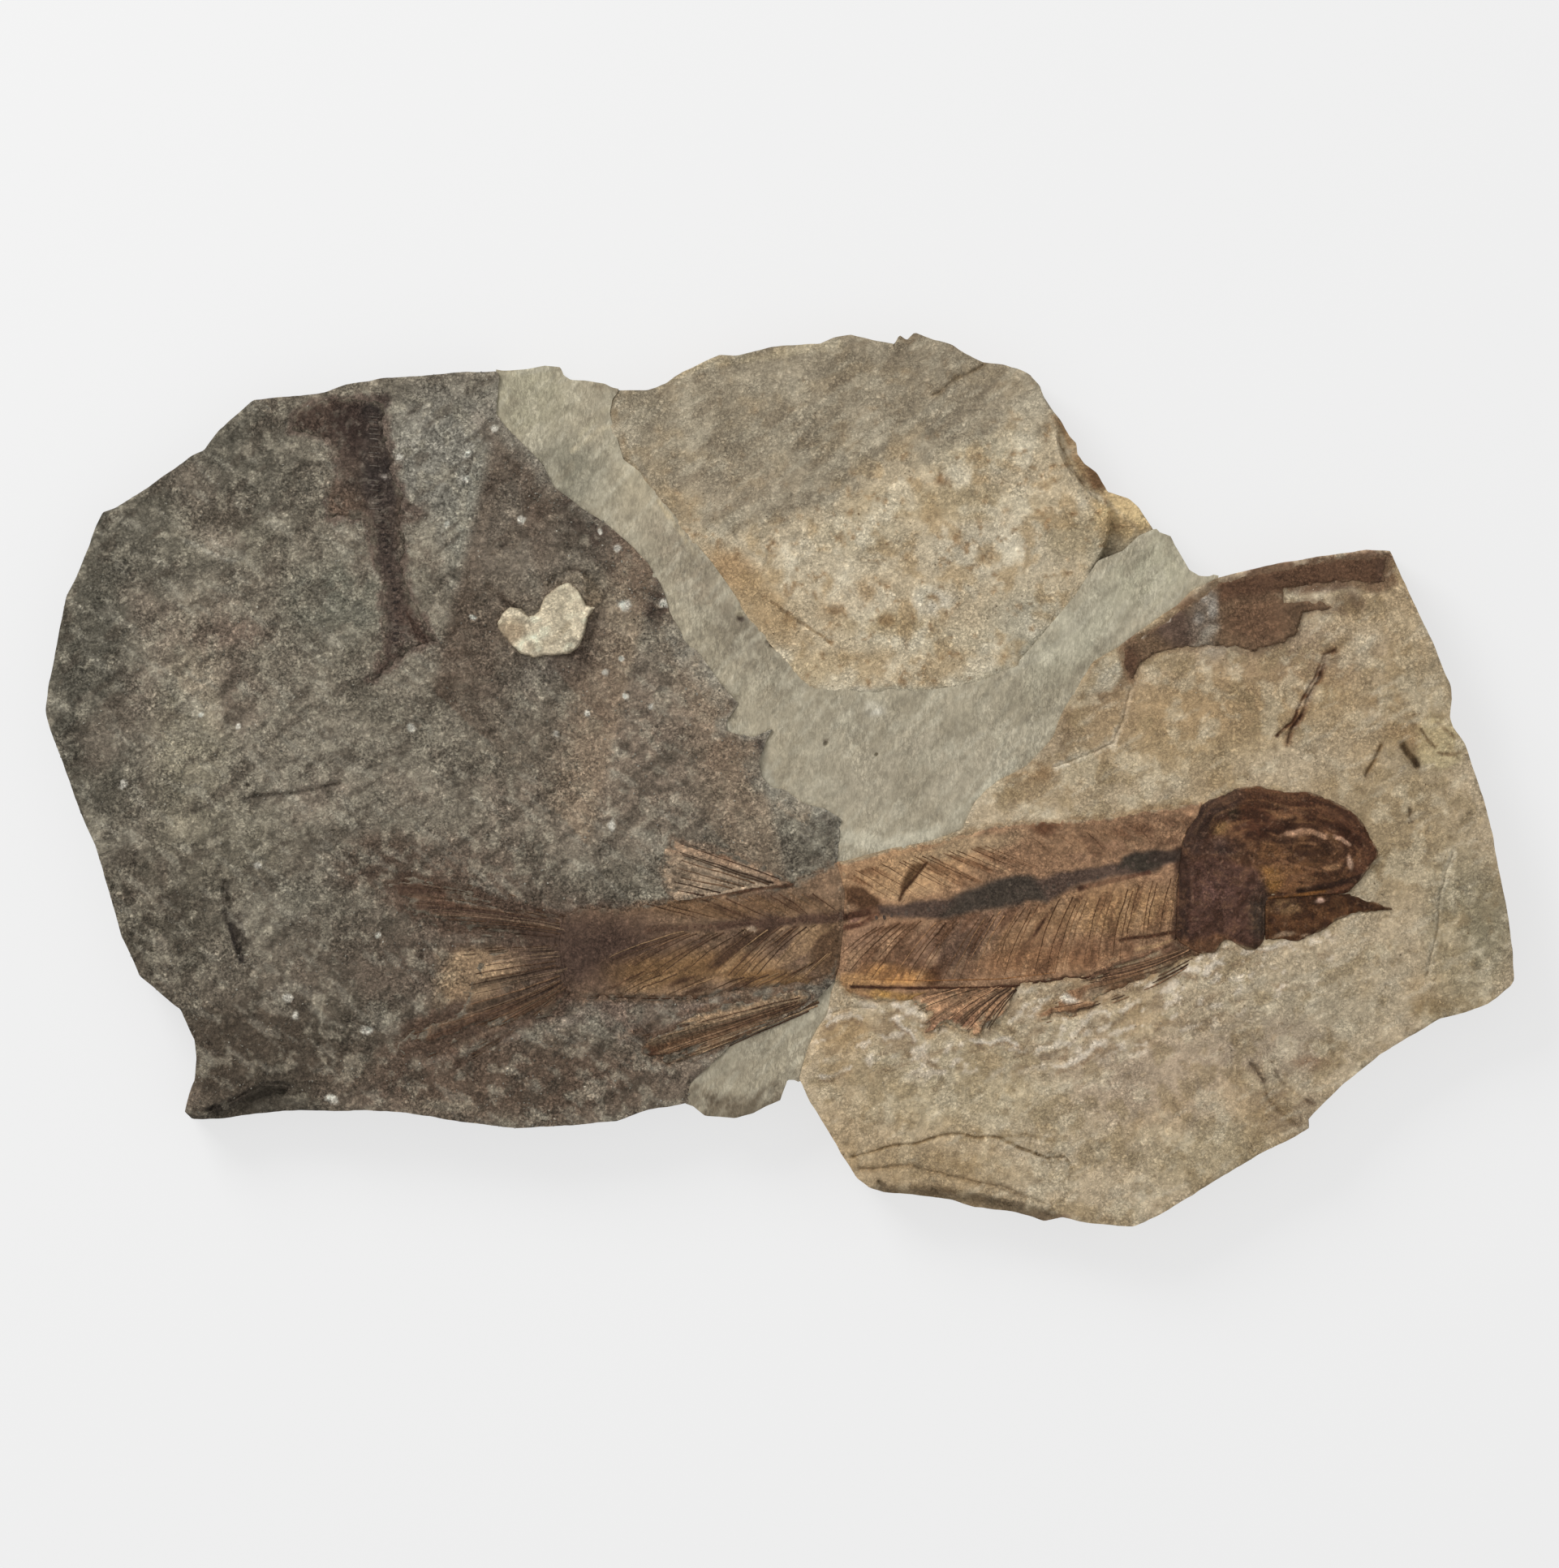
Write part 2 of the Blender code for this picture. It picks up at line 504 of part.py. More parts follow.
def build_head():
    """The skull and the lower jaw."""
    bone = stone("fossil_bone", (0.11, 0.055, 0.03), 0.5)
    skull = trace(GILL_EDGE, SKULL_FREE_EDGE, JAW_SEAM, SKULL_FRONT_EDGE)
    film("fish_skull", skull, dome_marks(skull, SKULL_RISE, 0.0014, 0.0042), bone, thickness=0.001)
    jaw = trace(JAW_SEAM, JAW_FREE_EDGE)
    film("fish_lower_jaw", jaw, dome_marks(jaw, 0.001, 0.0006, 0.0038), bone, thickness=0.001)


def build_small_fossils():
    """The flake, the second fossil and the bone patch."""
    film("limestone_flake", trace(FLAKE_OUTLINE), [], stone("cream_flake", (0.52, 0.44, 0.31)),
         thickness=FLAKE_THICKNESS)
    film("second_fossil", trace(SECOND_FOSSIL_OUTLINE),
         backbone_marks(path(SECOND_BACKBONE), SECOND_VERTEBRA_HALF_WIDTH),
         stone("second_fossil", (0.08, 0.06, 0.05), 0.7))
    patch = trace(BONE_PATCH_OUTLINE)
    film("bone_patch", patch, dome_marks(patch, 0.0004, 0.0002, 0.005),
         stone("bone_patch", (0.15, 0.10, 0.06), 0.7))


def main():
    for old in list(bpy.data.objects):
        bpy.data.objects.remove(old)
    build_plates()
    build_trunk()
    build_fins()
    build_head()
    build_small_fossils()


main()
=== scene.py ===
# %% [markdown]
# # A fossil fish on a mended slab
#
# Three broken plates of stone lie in grey cement, and one fossil fish runs across two of them. This
# notebook dresses a plain solid model of that slab. It starts from the solids, which fix every place
# and size, and gives each one a fine surface, a painted colour and a stone finish.

import math

import bmesh
import bpy
import numpy as np
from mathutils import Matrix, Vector
from mathutils.bvhtree import BVHTree
from mathutils.geometry import delaunay_2d_cdt


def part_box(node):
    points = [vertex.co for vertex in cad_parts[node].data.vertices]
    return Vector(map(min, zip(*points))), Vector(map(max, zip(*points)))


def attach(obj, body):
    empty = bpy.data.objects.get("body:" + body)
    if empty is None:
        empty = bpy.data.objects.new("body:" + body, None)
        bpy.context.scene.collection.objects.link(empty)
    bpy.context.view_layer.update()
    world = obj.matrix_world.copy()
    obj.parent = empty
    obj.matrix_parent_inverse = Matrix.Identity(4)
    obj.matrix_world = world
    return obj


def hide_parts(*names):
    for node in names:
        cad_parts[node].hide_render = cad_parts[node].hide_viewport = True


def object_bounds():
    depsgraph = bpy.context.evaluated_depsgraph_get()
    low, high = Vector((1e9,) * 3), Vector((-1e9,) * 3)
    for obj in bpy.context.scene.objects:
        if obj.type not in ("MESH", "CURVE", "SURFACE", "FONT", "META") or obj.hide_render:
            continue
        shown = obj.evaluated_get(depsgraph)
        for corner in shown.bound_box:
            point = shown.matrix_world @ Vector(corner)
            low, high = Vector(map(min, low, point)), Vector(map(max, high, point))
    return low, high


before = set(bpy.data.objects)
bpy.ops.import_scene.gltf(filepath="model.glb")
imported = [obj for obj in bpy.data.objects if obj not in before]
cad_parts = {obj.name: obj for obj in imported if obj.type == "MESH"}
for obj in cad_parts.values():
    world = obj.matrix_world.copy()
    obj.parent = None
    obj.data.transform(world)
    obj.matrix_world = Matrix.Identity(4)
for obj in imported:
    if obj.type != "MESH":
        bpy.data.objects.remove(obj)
cad_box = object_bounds()
print("solids:", len(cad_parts))
print("box:", [round(side * 1000, 1) for side in cad_box[1] - cad_box[0]], "mm")

# %% [markdown]
# ## From the photograph to the slab
#
# The camera looked straight down, so one scale turns the photograph's pixels into places on the slab.
# Measuring in pixels keeps every crack and stain where the eye sees it, and the scale itself comes
# from the solids, so a larger slab would take its markings with it. A line or an outline is written
# as plain text, x,y for each of its points, because there are hundreds of them.

# %% One scale for every marking
SLAB_PIXELS = 1806.8
MIDDLE_PIXEL = np.array((961, 960.5))
PIXEL = (cad_box[1].x - cad_box[0].x) / SLAB_PIXELS
MM = 0.001


def number(word):
    """A number from a word, whole where the word has no decimal point."""
    return float(word) if "." in word else int(word)


def pairs(text):
    """A line or an outline in pixels, from text such as 12,30 14,34. A third number can be a size."""
    return [tuple(number(part) for part in word.split(",")) for word in text.split()]


def spots(pixels):
    """Places on the slab, in metres, of pixels of the photograph, given as text or as pairs."""
    pixels = pairs(pixels) if isinstance(pixels, str) else pixels
    return (np.array(pixels, float).reshape(-1, 2) - MIDDLE_PIXEL) * (PIXEL, -PIXEL)


def pixels_of(points):
    """The photograph's pixels at places on the slab."""
    return points[:, :2] / (PIXEL, -PIXEL) + MIDDLE_PIXEL


print("one pixel is", round(PIXEL / MM, 4), "mm")

# %% [markdown]
# ## Camera, light and floor
#
# A long lens from high above keeps the edges parallel, as in the photograph. The light is soft and
# comes a little more from the upper left, which is what makes the low relief readable.

# %% The camera over the slab
FRAME_PIXELS = (1921, 1932)
CAMERA_DISTANCE = 4.0
EDGE_HEIGHT = 12 * MM
SENSOR = 36
lens_data = bpy.data.cameras.new("camera")
lens_data.sensor_width = SENSOR
lens_data.lens = SENSOR * CAMERA_DISTANCE / (FRAME_PIXELS[1] * PIXEL)
camera = bpy.data.objects.new("camera", lens_data)
aim = spots([(FRAME_PIXELS[0] / 2, FRAME_PIXELS[1] / 2)])[0]
camera.location = (aim[0], aim[1], CAMERA_DISTANCE + EDGE_HEIGHT)
bpy.context.scene.collection.objects.link(camera)
bpy.context.scene.camera = camera
bpy.context.scene.view_settings.view_transform = "Standard"
print("lens:", round(lens_data.lens), "mm")

# %% Soft studio light
SKY_STRENGTH = 0.64
world = bpy.data.worlds.new("studio")
world.use_nodes = True
world.node_tree.nodes["Background"].inputs["Color"].default_value = (1, 1, 1, 1)
world.node_tree.nodes["Background"].inputs["Strength"].default_value = SKY_STRENGTH
bpy.context.scene.world = world


def soft_box(name, place, size, watts):
    """A square light that faces the slab's middle."""
    data = bpy.data.lights.new(name, "AREA")
    data.size = size
    data.energy = watts
    light = bpy.data.objects.new(name, data)
    light.location = place
    light.rotation_euler = (-Vector(place)).to_track_quat("-Z", "Y").to_euler()
    bpy.context.scene.collection.objects.link(light)


soft_box("key", (-1.2, 1.4, 1.1), 1.0, 39)

# %% A pale floor, lit a little from below
REACH = 6.0
FLOOR_ALBEDO = 0.86
FLOOR_GLOW = 0.8
corners = [(-REACH, -REACH, 0), (REACH, -REACH, 0), (REACH, REACH, 0), (-REACH, REACH, 0)]
floor_data = bpy.data.meshes.new("floor")
floor_data.from_pydata(corners, [], [(0, 1, 2, 3)])
floor = bpy.data.objects.new("floor", floor_data)
paper = bpy.data.materials.new("pale_paper")
paper.use_nodes = True
paper_shader = paper.node_tree.nodes["Principled BSDF"]
paper_shader.inputs["Base Color"].default_value = [FLOOR_ALBEDO * (1 - FLOOR_GLOW)] * 3 + [1]
paper_shader.inputs["Roughness"].default_value = 1.0
paper_shader.inputs["Specular IOR Level"].default_value = 0.0
paper_shader.inputs["Emission Color"].default_value = (1, 1, 1, 1)
paper_shader.inputs["Emission Strength"].default_value = FLOOR_ALBEDO * FLOOR_GLOW
floor_data.materials.append(paper)
bpy.context.scene.collection.objects.link(floor)

# %% [markdown]
# ## Noise that is the same each time
#
# Broken stone has no two marks alike. A lattice of fixed pseudo-random heights, smoothed between its
# corners, gives such variety and still makes the same slab on every run. Sums of finer and finer
# lattices look like weathered rock.

# %% Smooth noise and its sums
def lattice(points, size, seed):
    """Smooth noise from -1 to 1 over cells of one size."""
    turn = 0.7 * seed
    u = (points[:, 0] * math.cos(turn) - points[:, 1] * math.sin(turn)) / size + 31.7 * seed
    v = (points[:, 0] * math.sin(turn) + points[:, 1] * math.cos(turn)) / size + 17.3 * seed
    column, row = np.floor(u).astype(np.int64), np.floor(v).astype(np.int64)

    def corner(across, up):
        mixed = (column + across) * 374761393 + (row + up) * 668265263 + seed * 974711
        mixed = (mixed ^ (mixed >> 13)) * 1274126177 & 0xFFFFFFFF
        return ((mixed ^ (mixed >> 16)) & 0xFFFF) / 32767.5 - 1

    s, t = u - column, v - row
    s, t = s * s * (3 - 2 * s), t * t * (3 - 2 * t)
    low = corner(0, 0) * (1 - s) + corner(1, 0) * s
    high = corner(0, 1) * (1 - s) + corner(1, 1) * s
    return low * (1 - t) + high * t


def rough(points, size, octaves, seed):
    """Noise from about -1 to 1, with detail down to size / 2 ** octaves."""
    total = np.zeros(len(points))
    for octave in range(octaves):
        total += lattice(points, size / 2 ** octave, seed + octave * 7) / 2 ** octave
    return total / 1.6


def streaks(points, size, angle, stretch, seed):
    """Noise drawn out along an angle in degrees, stretch times longer than it is wide."""
    turn = math.radians(angle)
    along = points[:, 0] * math.cos(turn) + points[:, 1] * math.sin(turn)
    across = points[:, 1] * math.cos(turn) - points[:, 0] * math.sin(turn)
    return rough(np.stack((along / stretch, across), 1), size, 3, seed)


sample = rough(np.random.default_rng(1).uniform(-0.2, 0.2, (5000, 2)), 0.02, 4, 3)
print("noise spread:", round(float(sample.std()), 2), "range:", round(float(np.abs(sample).max()), 2))

# %% [markdown]
# ## Distances to outlines and lines
#
# Most of what follows asks one question of each point: how far is it from this outline, or from that
# crack? The answer, softened, becomes a mask for colour or height.

# %% Distance to a line and depth in an outline
def distance_to(points, path, closed=False):
    """Each point's distance to a path."""
    best = np.full(len(points), 1e9)
    ends = np.vstack((path, path[:1])) if closed else path
    for a, b in zip(ends[:-1], ends[1:]):
        run = b - a
        along = np.clip(((points - a) @ run) / max(run @ run, 1e-18), 0, 1)
        gap = points - a - along[:, None] * run
        best = np.minimum(best, gap[:, 0] ** 2 + gap[:, 1] ** 2)
    return np.sqrt(best)


def depth_in(points, loop):
    """How deep each point is inside a loop, and negative outside it."""
    within = np.zeros(len(points), bool)
    for a, b in zip(loop, np.roll(loop, -1, axis=0)):
        if a[1] != b[1]:
            crosses = (a[1] > points[:, 1]) != (b[1] > points[:, 1])
            at_x = a[0] + (points[:, 1] - a[1]) / (b[1] - a[1]) * (b[0] - a[0])
            within ^= crosses & (points[:, 0] < at_x)
    return np.where(within, 1, -1) * distance_to(points, loop, closed=True)


def ramp(values, low, high):
    """0 below low, 1 above high, and smooth between."""
    share = np.clip((values - low) / (high - low), 0, 1)
    return share * share * (3 - 2 * share)


# %% Outlines and heights read from the solids
def merged(node):
    """A solid's mesh with its loose triangles joined."""
    mesh = bmesh.new()
    mesh.from_mesh(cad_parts[node].data)
    bmesh.ops.remove_doubles(mesh, verts=mesh.verts, dist=1e-6)
    return mesh


def section(node, height):
    """A solid's outline at a height, anticlockwise from its leftmost point."""
    mesh = merged(node)
    cut = bmesh.ops.bisect_plane(
        mesh, geom=mesh.verts[:] + mesh.edges[:] + mesh.faces[:], dist=1e-7,
        plane_co=(0, 0, height), plane_no=(0, 0, 1))["geom_cut"]
    edges = {item for item in cut if isinstance(item, bmesh.types.BMEdge)}
    loops = []
    while edges:
        first = edges.pop()
        loop = [first.verts[0], first.verts[1]]
        while True:
            onward = next((edge for edge in loop[-1].link_edges if edge in edges), None)
            if onward is None:
                break
            edges.discard(onward)
            loop.append(onward.other_vert(loop[-1]))
        loops.append(np.array([vert.co.xy[:] for vert in loop[:-1]]))
    mesh.free()
    loop = max(loops, key=len)
    area = np.sum(loop[:, 0] * np.roll(loop[:, 1], -1) - loop[:, 1] * np.roll(loop[:, 0], -1))
    loop = loop if area > 0 else loop[::-1]
    return np.roll(loop, -loop[:, 0].argmin(), axis=0)


PLATES = ("dark_slate_plate", "tan_limestone_plate", "mottled_upper_plate", "grey_cement_joint",
          "lower_cement_fill")
EDGE_SHARE = 0.549
edges_of = {}
for node in PLATES:
    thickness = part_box(node)[1].z
    edges_of[node] = section(node, thickness * EDGE_SHARE)
    print(node, len(edges_of[node]), "points round its edge,", round(thickness / MM, 1), "mm thick")

# %% [markdown]
# ## Painting in words
#
# Each vertex carries its own colour. A colour starts as the stone's own, and washes of other colours
# are laid over it: soft ovals for stains, lines for cracks and rays, outlines for patches, and a few
# dark bands and ovals of painted shade and one pale oval of painted light. Noise bends every mask's
# edge, so that no stain ends in a clean curve. Colours are written as the eye reads them on a screen,
# from 0 to 255, and turned into light only at the end.
#
# The washes of a piece are a table of plain text, laid from the top down. A row gives red, green, blue
# and the strength, then the kind of mask and its numbers: an oval's middle, radii and angle, a line's
# points and width, a patch's outline and softness, or the size and limits of noise. A name in place of
# points stands for a line that is used more than once.

# %% Washes of colour
SCREEN_WHITE = 240
KINDS = ("oval", "line", "patch", "spread", "drawn")
PATHS = {}


class Paint:
    """The colour of each point of a surface, built up in washes."""

    def __init__(self, points, colour, seed):
        self.points = np.array(points, float)[:, :2]
        self.heights = np.array(points, float)[:, 2]
        self.colour = np.tile(np.array(colour, float), (len(points), 1))
        self.seed = seed
        self.edge = None
        self.bent = self.points + np.stack(
            (rough(self.points, 8 * MM, 4, seed), rough(self.points, 8 * MM, 4, seed + 50)), 1) * 1.6 * MM

    def wash(self, colour, mask):
        """Moves the colour toward another one, by a mask from 0 to 1."""
        self.colour += (np.array(colour, float) - self.colour) * np.clip(mask, 0, 1)[:, None]

    def shade(self, amount):
        """Brightens where the amount is above 0 and darkens where it is below."""
        self.colour *= (1 + amount)[:, None]

    def oval(self, pixel, radii, angle, softness=0.6):
        """A mask that is 1 in the middle of an oval, in pixels, turned by an angle in degrees."""
        offset = self.bent - spots([pixel])[0]
        turn = math.radians(angle)
        across = offset[:, 0] * math.cos(turn) + offset[:, 1] * math.sin(turn)
        up = offset[:, 1] * math.cos(turn) - offset[:, 0] * math.sin(turn)
        reach = np.hypot(across / (radii[0] * PIXEL), up / (radii[1] * PIXEL))
        return 1 - ramp(reach, 1 - softness, 1 + softness * 0.6)

    def line(self, pixels, width, bend=0.4):
        """A mask along a line of the photograph, width pixels wide."""
        points = self.points + (self.bent - self.points) * bend
        strength = 0.5 + 0.5 * ramp(rough(points, 5 * MM, 3, self.seed + 61), -0.5, 0.1)
        away = distance_to(points, spots(pixels))
        return strength * (1 - ramp(away, width * PIXEL * 0.3, width * PIXEL * 0.8))

    def patch(self, pixels, softness=6, bend=1.0):
        """A mask over an outline in the photograph, with an edge so many pixels soft."""
        points = self.points + (self.bent - self.points) * bend
        return ramp(depth_in(points, spots(pixels)), -softness * PIXEL, softness * PIXEL)

    def spread(self, size, octaves, seed, low, high):
        """A mask from noise alone: 0 below low and 1 above high."""
        return ramp(rough(self.points, size * MM, octaves, self.seed + seed), low, high)

    def drawn(self, size, angle, stretch, seed, low, high):
        """A mask from noise that is drawn out along an angle."""
        return ramp(streaks(self.points, size * MM, angle, stretch, self.seed + seed), low, high)

    def beds(self, colour, low, high, strength=0.7, grain=0.3):
        """Evens out the sides below a share of the plate's height and draws level layers on them."""
        side = 1 - ramp(self.heights, low * PLATE_TOP, high * PLATE_TOP)
        self.wash(colour, strength * side)
        level = np.stack((self.points.sum(1) / 7, self.heights), 1)
        self.shade(grain * side * rough(level, 2.4 * MM, 2, self.seed + 70))

    def rows(self, table, within=1):
        """Lays the washes of a text table, within a mask. A row starts four words before its kind."""
        words = table.split()
        starts = [i - 4 for i, word in enumerate(words) if word in KINDS]
        for start, stop in zip(starts, starts[1:] + [len(words)]):
            *colour, strength = [number(word) for word in words[start:start + 4]]
            kind, rest = words[start + 4], words[start + 5:stop]
            points = pairs(" ".join(word for word in rest if "," in word))
            numbers = [number(word) for word in rest if "," not in word and word not in PATHS]
            if kind in ("line", "patch"):
                points = [points or PATHS[rest[0]]]
            self.wash(colour, strength * getattr(self, kind)(*points, *numbers) * within)

    def light(self):
        """The colours as linear albedo, with an alpha of 1."""
        share = np.clip(self.colour, 4, 250) / 255
        linear = np.where(share <= 0.04045, share / 12.92, ((share + 0.055) / 1.055) ** 2.4)
        white = ((SCREEN_WHITE / 255 + 0.055) / 1.055) ** 2.4
        return np.hstack((linear / white * FLOOR_ALBEDO, np.ones((len(linear), 1))))


def tint(piece, colours):
    """Stores a colour for each vertex, which the material reads."""
    attribute = piece.data.color_attributes.new("Tint", "FLOAT_COLOR", "POINT")
    attribute.data.foreach_set("color", np.asarray(colours, np.float32).ravel())


# %% [markdown]
# ## The stone finishes
#
# One finish serves all the stone, with its own numbers for each kind: the vertex colour, broken up by
# grain of two sizes, and a bump of the same grain. Slate is rougher and darker in its pores than
# cement, and fossil bone is smoother and a little glossy. A small helper adds each node in one line.

# %% Adding a node in one line
def adder(tree):
    """A function that adds a node to a tree, sets its properties, links or sets its inputs by name or
    number, and gives one of its outputs."""
    def add(kind, inputs, output=0, **settings):
        made = tree.nodes.new(kind if "Node" in kind else "GeometryNode" + kind)
        for key, value in settings.items():
            setattr(made, key, value)
        for key, value in inputs.items():
            if isinstance(value, bpy.types.NodeSocket):
                tree.links.new(value, made.inputs[key])
            else:
                made.inputs[key].default_value = value
        return made.outputs[output]
    return add


# %% A finish for grainy stone
def stone_finish(name, grain, contrast, pores, specks, bump, roughness, gloss=0.15,
                 stretch=(1, 1, 1), turn=0.0):
    """A Principled material. grain is the size of the grains and bump their height, both in mm.
    contrast is how far they differ, pores how dark the gaps are, and specks how bright the odd crystal
    is. stretch and turn draw the grain out."""
    grain, bump = grain * MM, bump * MM
    material = bpy.data.materials.new(name)
    material.use_nodes = True
    tree = material.node_tree
    add = adder(tree)
    place = add("ShaderNodeMapping", {
        "Vector": add("ShaderNodeTexCoord", {}, "Object"), "Scale": stretch, "Rotation": (0, 0, turn)})

    def noise(size, detail, roughness=0.65, swirl=0.0):
        return add("ShaderNodeTexNoise", {
            "Vector": place, "Scale": 1 / size, "Detail": detail, "Roughness": roughness,
            "Distortion": swirl}, "Fac")

    def span(value, low, high, start, end):
        return add("ShaderNodeMapRange", {
            "Value": value, "From Min": low, "From Max": high, "To Min": start, "To Max": end})

    def maths(operation, first, second):
        return add("ShaderNodeMath", {0: first, 1: second}, operation=operation)

    zones = span(noise(grain * 14, 3), 0.36, 0.64, 0.45, 1.35)
    fine = span(noise(grain, 4, 0.7, 0.6), 0.39, 0.61, -contrast, contrast)
    fine = maths("ADD", maths("MULTIPLY", fine, zones), 1)
    medium = span(noise(grain * 3.2, 5, 0.75, 1.2), 0.39, 0.61, 1 - contrast * 0.6, 1 + contrast * 0.6)
    cells = add("ShaderNodeTexVoronoi", {"Vector": place, "Scale": 1 / (grain * 2.0)}, "Distance")
    gaps = span(cells, 0.4, 0.75, 1.0, 1 - pores)
    lot = add("ShaderNodeSeparateColor", {"Color": cells.node.outputs["Color"]}, "Red")
    crystals = maths("MULTIPLY", span(cells, 0.1, 0.35, specks, 0.0), span(lot, 0.72, 0.86, 0.0, 1.0))
    factor = maths("ADD", maths("MULTIPLY", maths("MULTIPLY", fine, medium), gaps), crystals)
    painted = add("ShaderNodeAttribute", {}, "Color", attribute_name="Tint")
    coloured = add("ShaderNodeVectorMath", {"Vector": painted, "Scale": factor}, operation="SCALE")
    dullness = span(noise(grain * 3, 2), 0.3, 0.7, roughness - 0.08, roughness + 0.08)
    relief = add("ShaderNodeBump", {"Strength": 1.0, "Distance": bump, "Height": factor})
    shader = tree.nodes["Principled BSDF"]
    shader.inputs["Specular IOR Level"].default_value = gloss
    for socket, value in (("Base Color", coloured), ("Roughness", dullness), ("Normal", relief)):
        tree.links.new(value, shader.inputs[socket])
    return material


CEMENT_GRAIN = (1, 0.5, 1)
FINISHES = {slot: stone_finish(*numbers) for slot, numbers in {
    "dark_slate": ("dark_slate_grain", 0.85, 0.52, 0.26, 0.55, 0.6, 0.9),
    "tan_limestone": ("tan_limestone_grain", 0.85, 0.28, 0.12, 0.15, 0.4, 0.9),
    "mottled_limestone": ("mottled_limestone_grain", 0.85, 0.3, 0.14, 0.18, 0.45, 0.9),
    "cement": ("brushed_cement", 0.8, 0.2, 0.06, 0.1, 0.22, 0.85, 0.15, CEMENT_GRAIN, -0.8),
    "cream_flake": ("cream_flake_grain", 0.9, 0.26, 0.1, 0.15, 0.5, 0.9),
    "fossil_trunk": ("fossil_trunk_film", 0.8, 0.34, 0.14, 0.12, 0.3, 0.75, 0.1),
    "fossil_fin": ("fossil_fin_film", 0.8, 0.42, 0.18, 0.25, 0.3, 0.8, 0.1),
    "fossil_bone": ("fossil_bone_gloss", 0.7, 0.36, 0.12, 0.12, 0.3, 0.6, 0.12),
    "second_fossil": ("second_fossil_film", 0.8, 0.5, 0.25, 0.5, 0.4, 0.85, 0.1),
    "bone_patch": ("bone_patch_film", 0.8, 0.36, 0.15, 0.2, 0.35, 0.8, 0.1)}.items()}
print("finishes:", len(FINISHES))

# %% [markdown]
# ## A slab of stone as one mesh
#
# A plate has three kinds of surface. Its top is a fine net of triangles that follows the outline, its
# broken side is a stack of layers that end unevenly, and its back is flat and rough. Growing all three
# from one outline keeps the mesh closed. Where a crack runs, the net gets closer points along it, so
# that a groove half a millimetre wide is a real one.

# %% Even points round an outline
def evenly(path, pitch, closed=False):
    """Points at an even pitch along a path, or all the way round a closed one."""
    path = np.vstack((path, path[:1])) if closed else path
    travelled = np.concatenate(([0], np.cumsum(np.hypot(*np.diff(path, axis=0).T))))
    count = round(travelled[-1] / pitch)
    stations = np.linspace(0, travelled[-1], max(2, count + 1))
    if closed:
        stations = np.arange(count) / count * travelled[-1]
    return np.stack([np.interp(stations, travelled, path[:, k]) for k in (0, 1)], 1)


def inward(loop):
    """The direction into the outline at each of its points."""
    run = np.roll(loop, -2, axis=0) - np.roll(loop, 2, axis=0)
    run /= np.maximum(np.hypot(run[:, 0], run[:, 1]), 1e-9)[:, None]
    return np.stack((-run[:, 1], run[:, 0]), 1)


# %% Closer points along cracks
CRACK_PITCH = 0.35 * MM
CRACK_ROWS = (-0.7 * MM, -0.3 * MM, 0.0, 0.3 * MM, 0.7 * MM)


def along(path, pitch):
    """Points at an even pitch along an open path, and the direction of the path at each."""
    points = evenly(path, pitch)
    run = np.gradient(points, axis=0)
    return points, run / np.maximum(np.hypot(run[:, 0], run[:, 1]), 1e-12)[:, None]


def wandering(pixels, seed=0, amount=3.0):
    """A line of the photograph with small bends of its own, as a crack has."""
    points = pixels_of(along(spots(pixels), 3 * PIXEL)[0])
    bends = np.stack([rough(points, 26, 4, seed + turn) for turn in (71, 72)], 1)
    ends = np.minimum(np.arange(len(points)), np.arange(len(points))[::-1]) / 3
    return points + bends * amount * np.clip(ends, 0, 1)[:, None]


def wandering_cracks(name, *texts):
    """Cracks from their lines. Each also gets a name with its number, for the tables of washes."""
    cracks = [wandering(text) for text in texts]
    PATHS.update({name + str(i): line for i, line in enumerate(cracks)})
    return cracks


def closer_points(cracks, pits=()):
    """Rows of points on both sides of each crack, and rings round each pit, both given in pixels."""
    rows = []
    for x, y, radius in pits:
        turns = np.linspace(0, 2 * np.pi, 11)[:-1]
        for share in (0.3, 0.65, 1.0, 1.35):
            ring = np.stack((np.cos(turns + share), np.sin(turns + share)), 1) * share * radius * PIXEL
            rows.append(spots([(x, y)]) + ring)
    for pixels in cracks:
        points, run = along(spots(pixels), CRACK_PITCH)
        side = np.stack((-run[:, 1], run[:, 0]), 1)
        rows += [points + side * offset for offset in CRACK_ROWS]
    return np.vstack(rows)


# %% A net of triangles
def net(rim, pitch, seed, closer=None):
    """Triangles that fill a rim, with points at about the pitch, moved a little off their lattice.
    Gives the inner points, and triangles over the rim's points followed by the inner ones. closer
    holds extra points, and the lattice makes way for them."""
    low, high = rim.min(0), rim.max(0)
    rows = np.arange(low[1], high[1], pitch * 0.866)
    columns = np.arange(low[0], high[0], pitch)
    across, up = np.meshgrid(columns, rows)
    across = across + (np.arange(len(rows)) % 2)[:, None] * pitch / 2
    points = np.stack((across.ravel(), up.ravel()), 1)
    points += np.random.default_rng(seed).uniform(-0.18, 0.18, points.shape) * pitch
    if closer is not None:
        cells = {tuple(cell) for cell in np.floor(closer / pitch).astype(int).tolist()}
        kept = [tuple(cell) not in cells for cell in np.floor(points / pitch).astype(int).tolist()]
        points = np.vstack((points[kept], closer))
    points = points[depth_in(points, rim) > pitch * 0.45]
    flat = [Vector(p) for p in np.vstack((rim, points)).tolist()]
    found = delaunay_2d_cdt(flat, [], [list(range(len(rim)))], 1, 1e-9)
    made = np.array([p[:] for p in found[0]])
    return made[len(rim):], found[2]


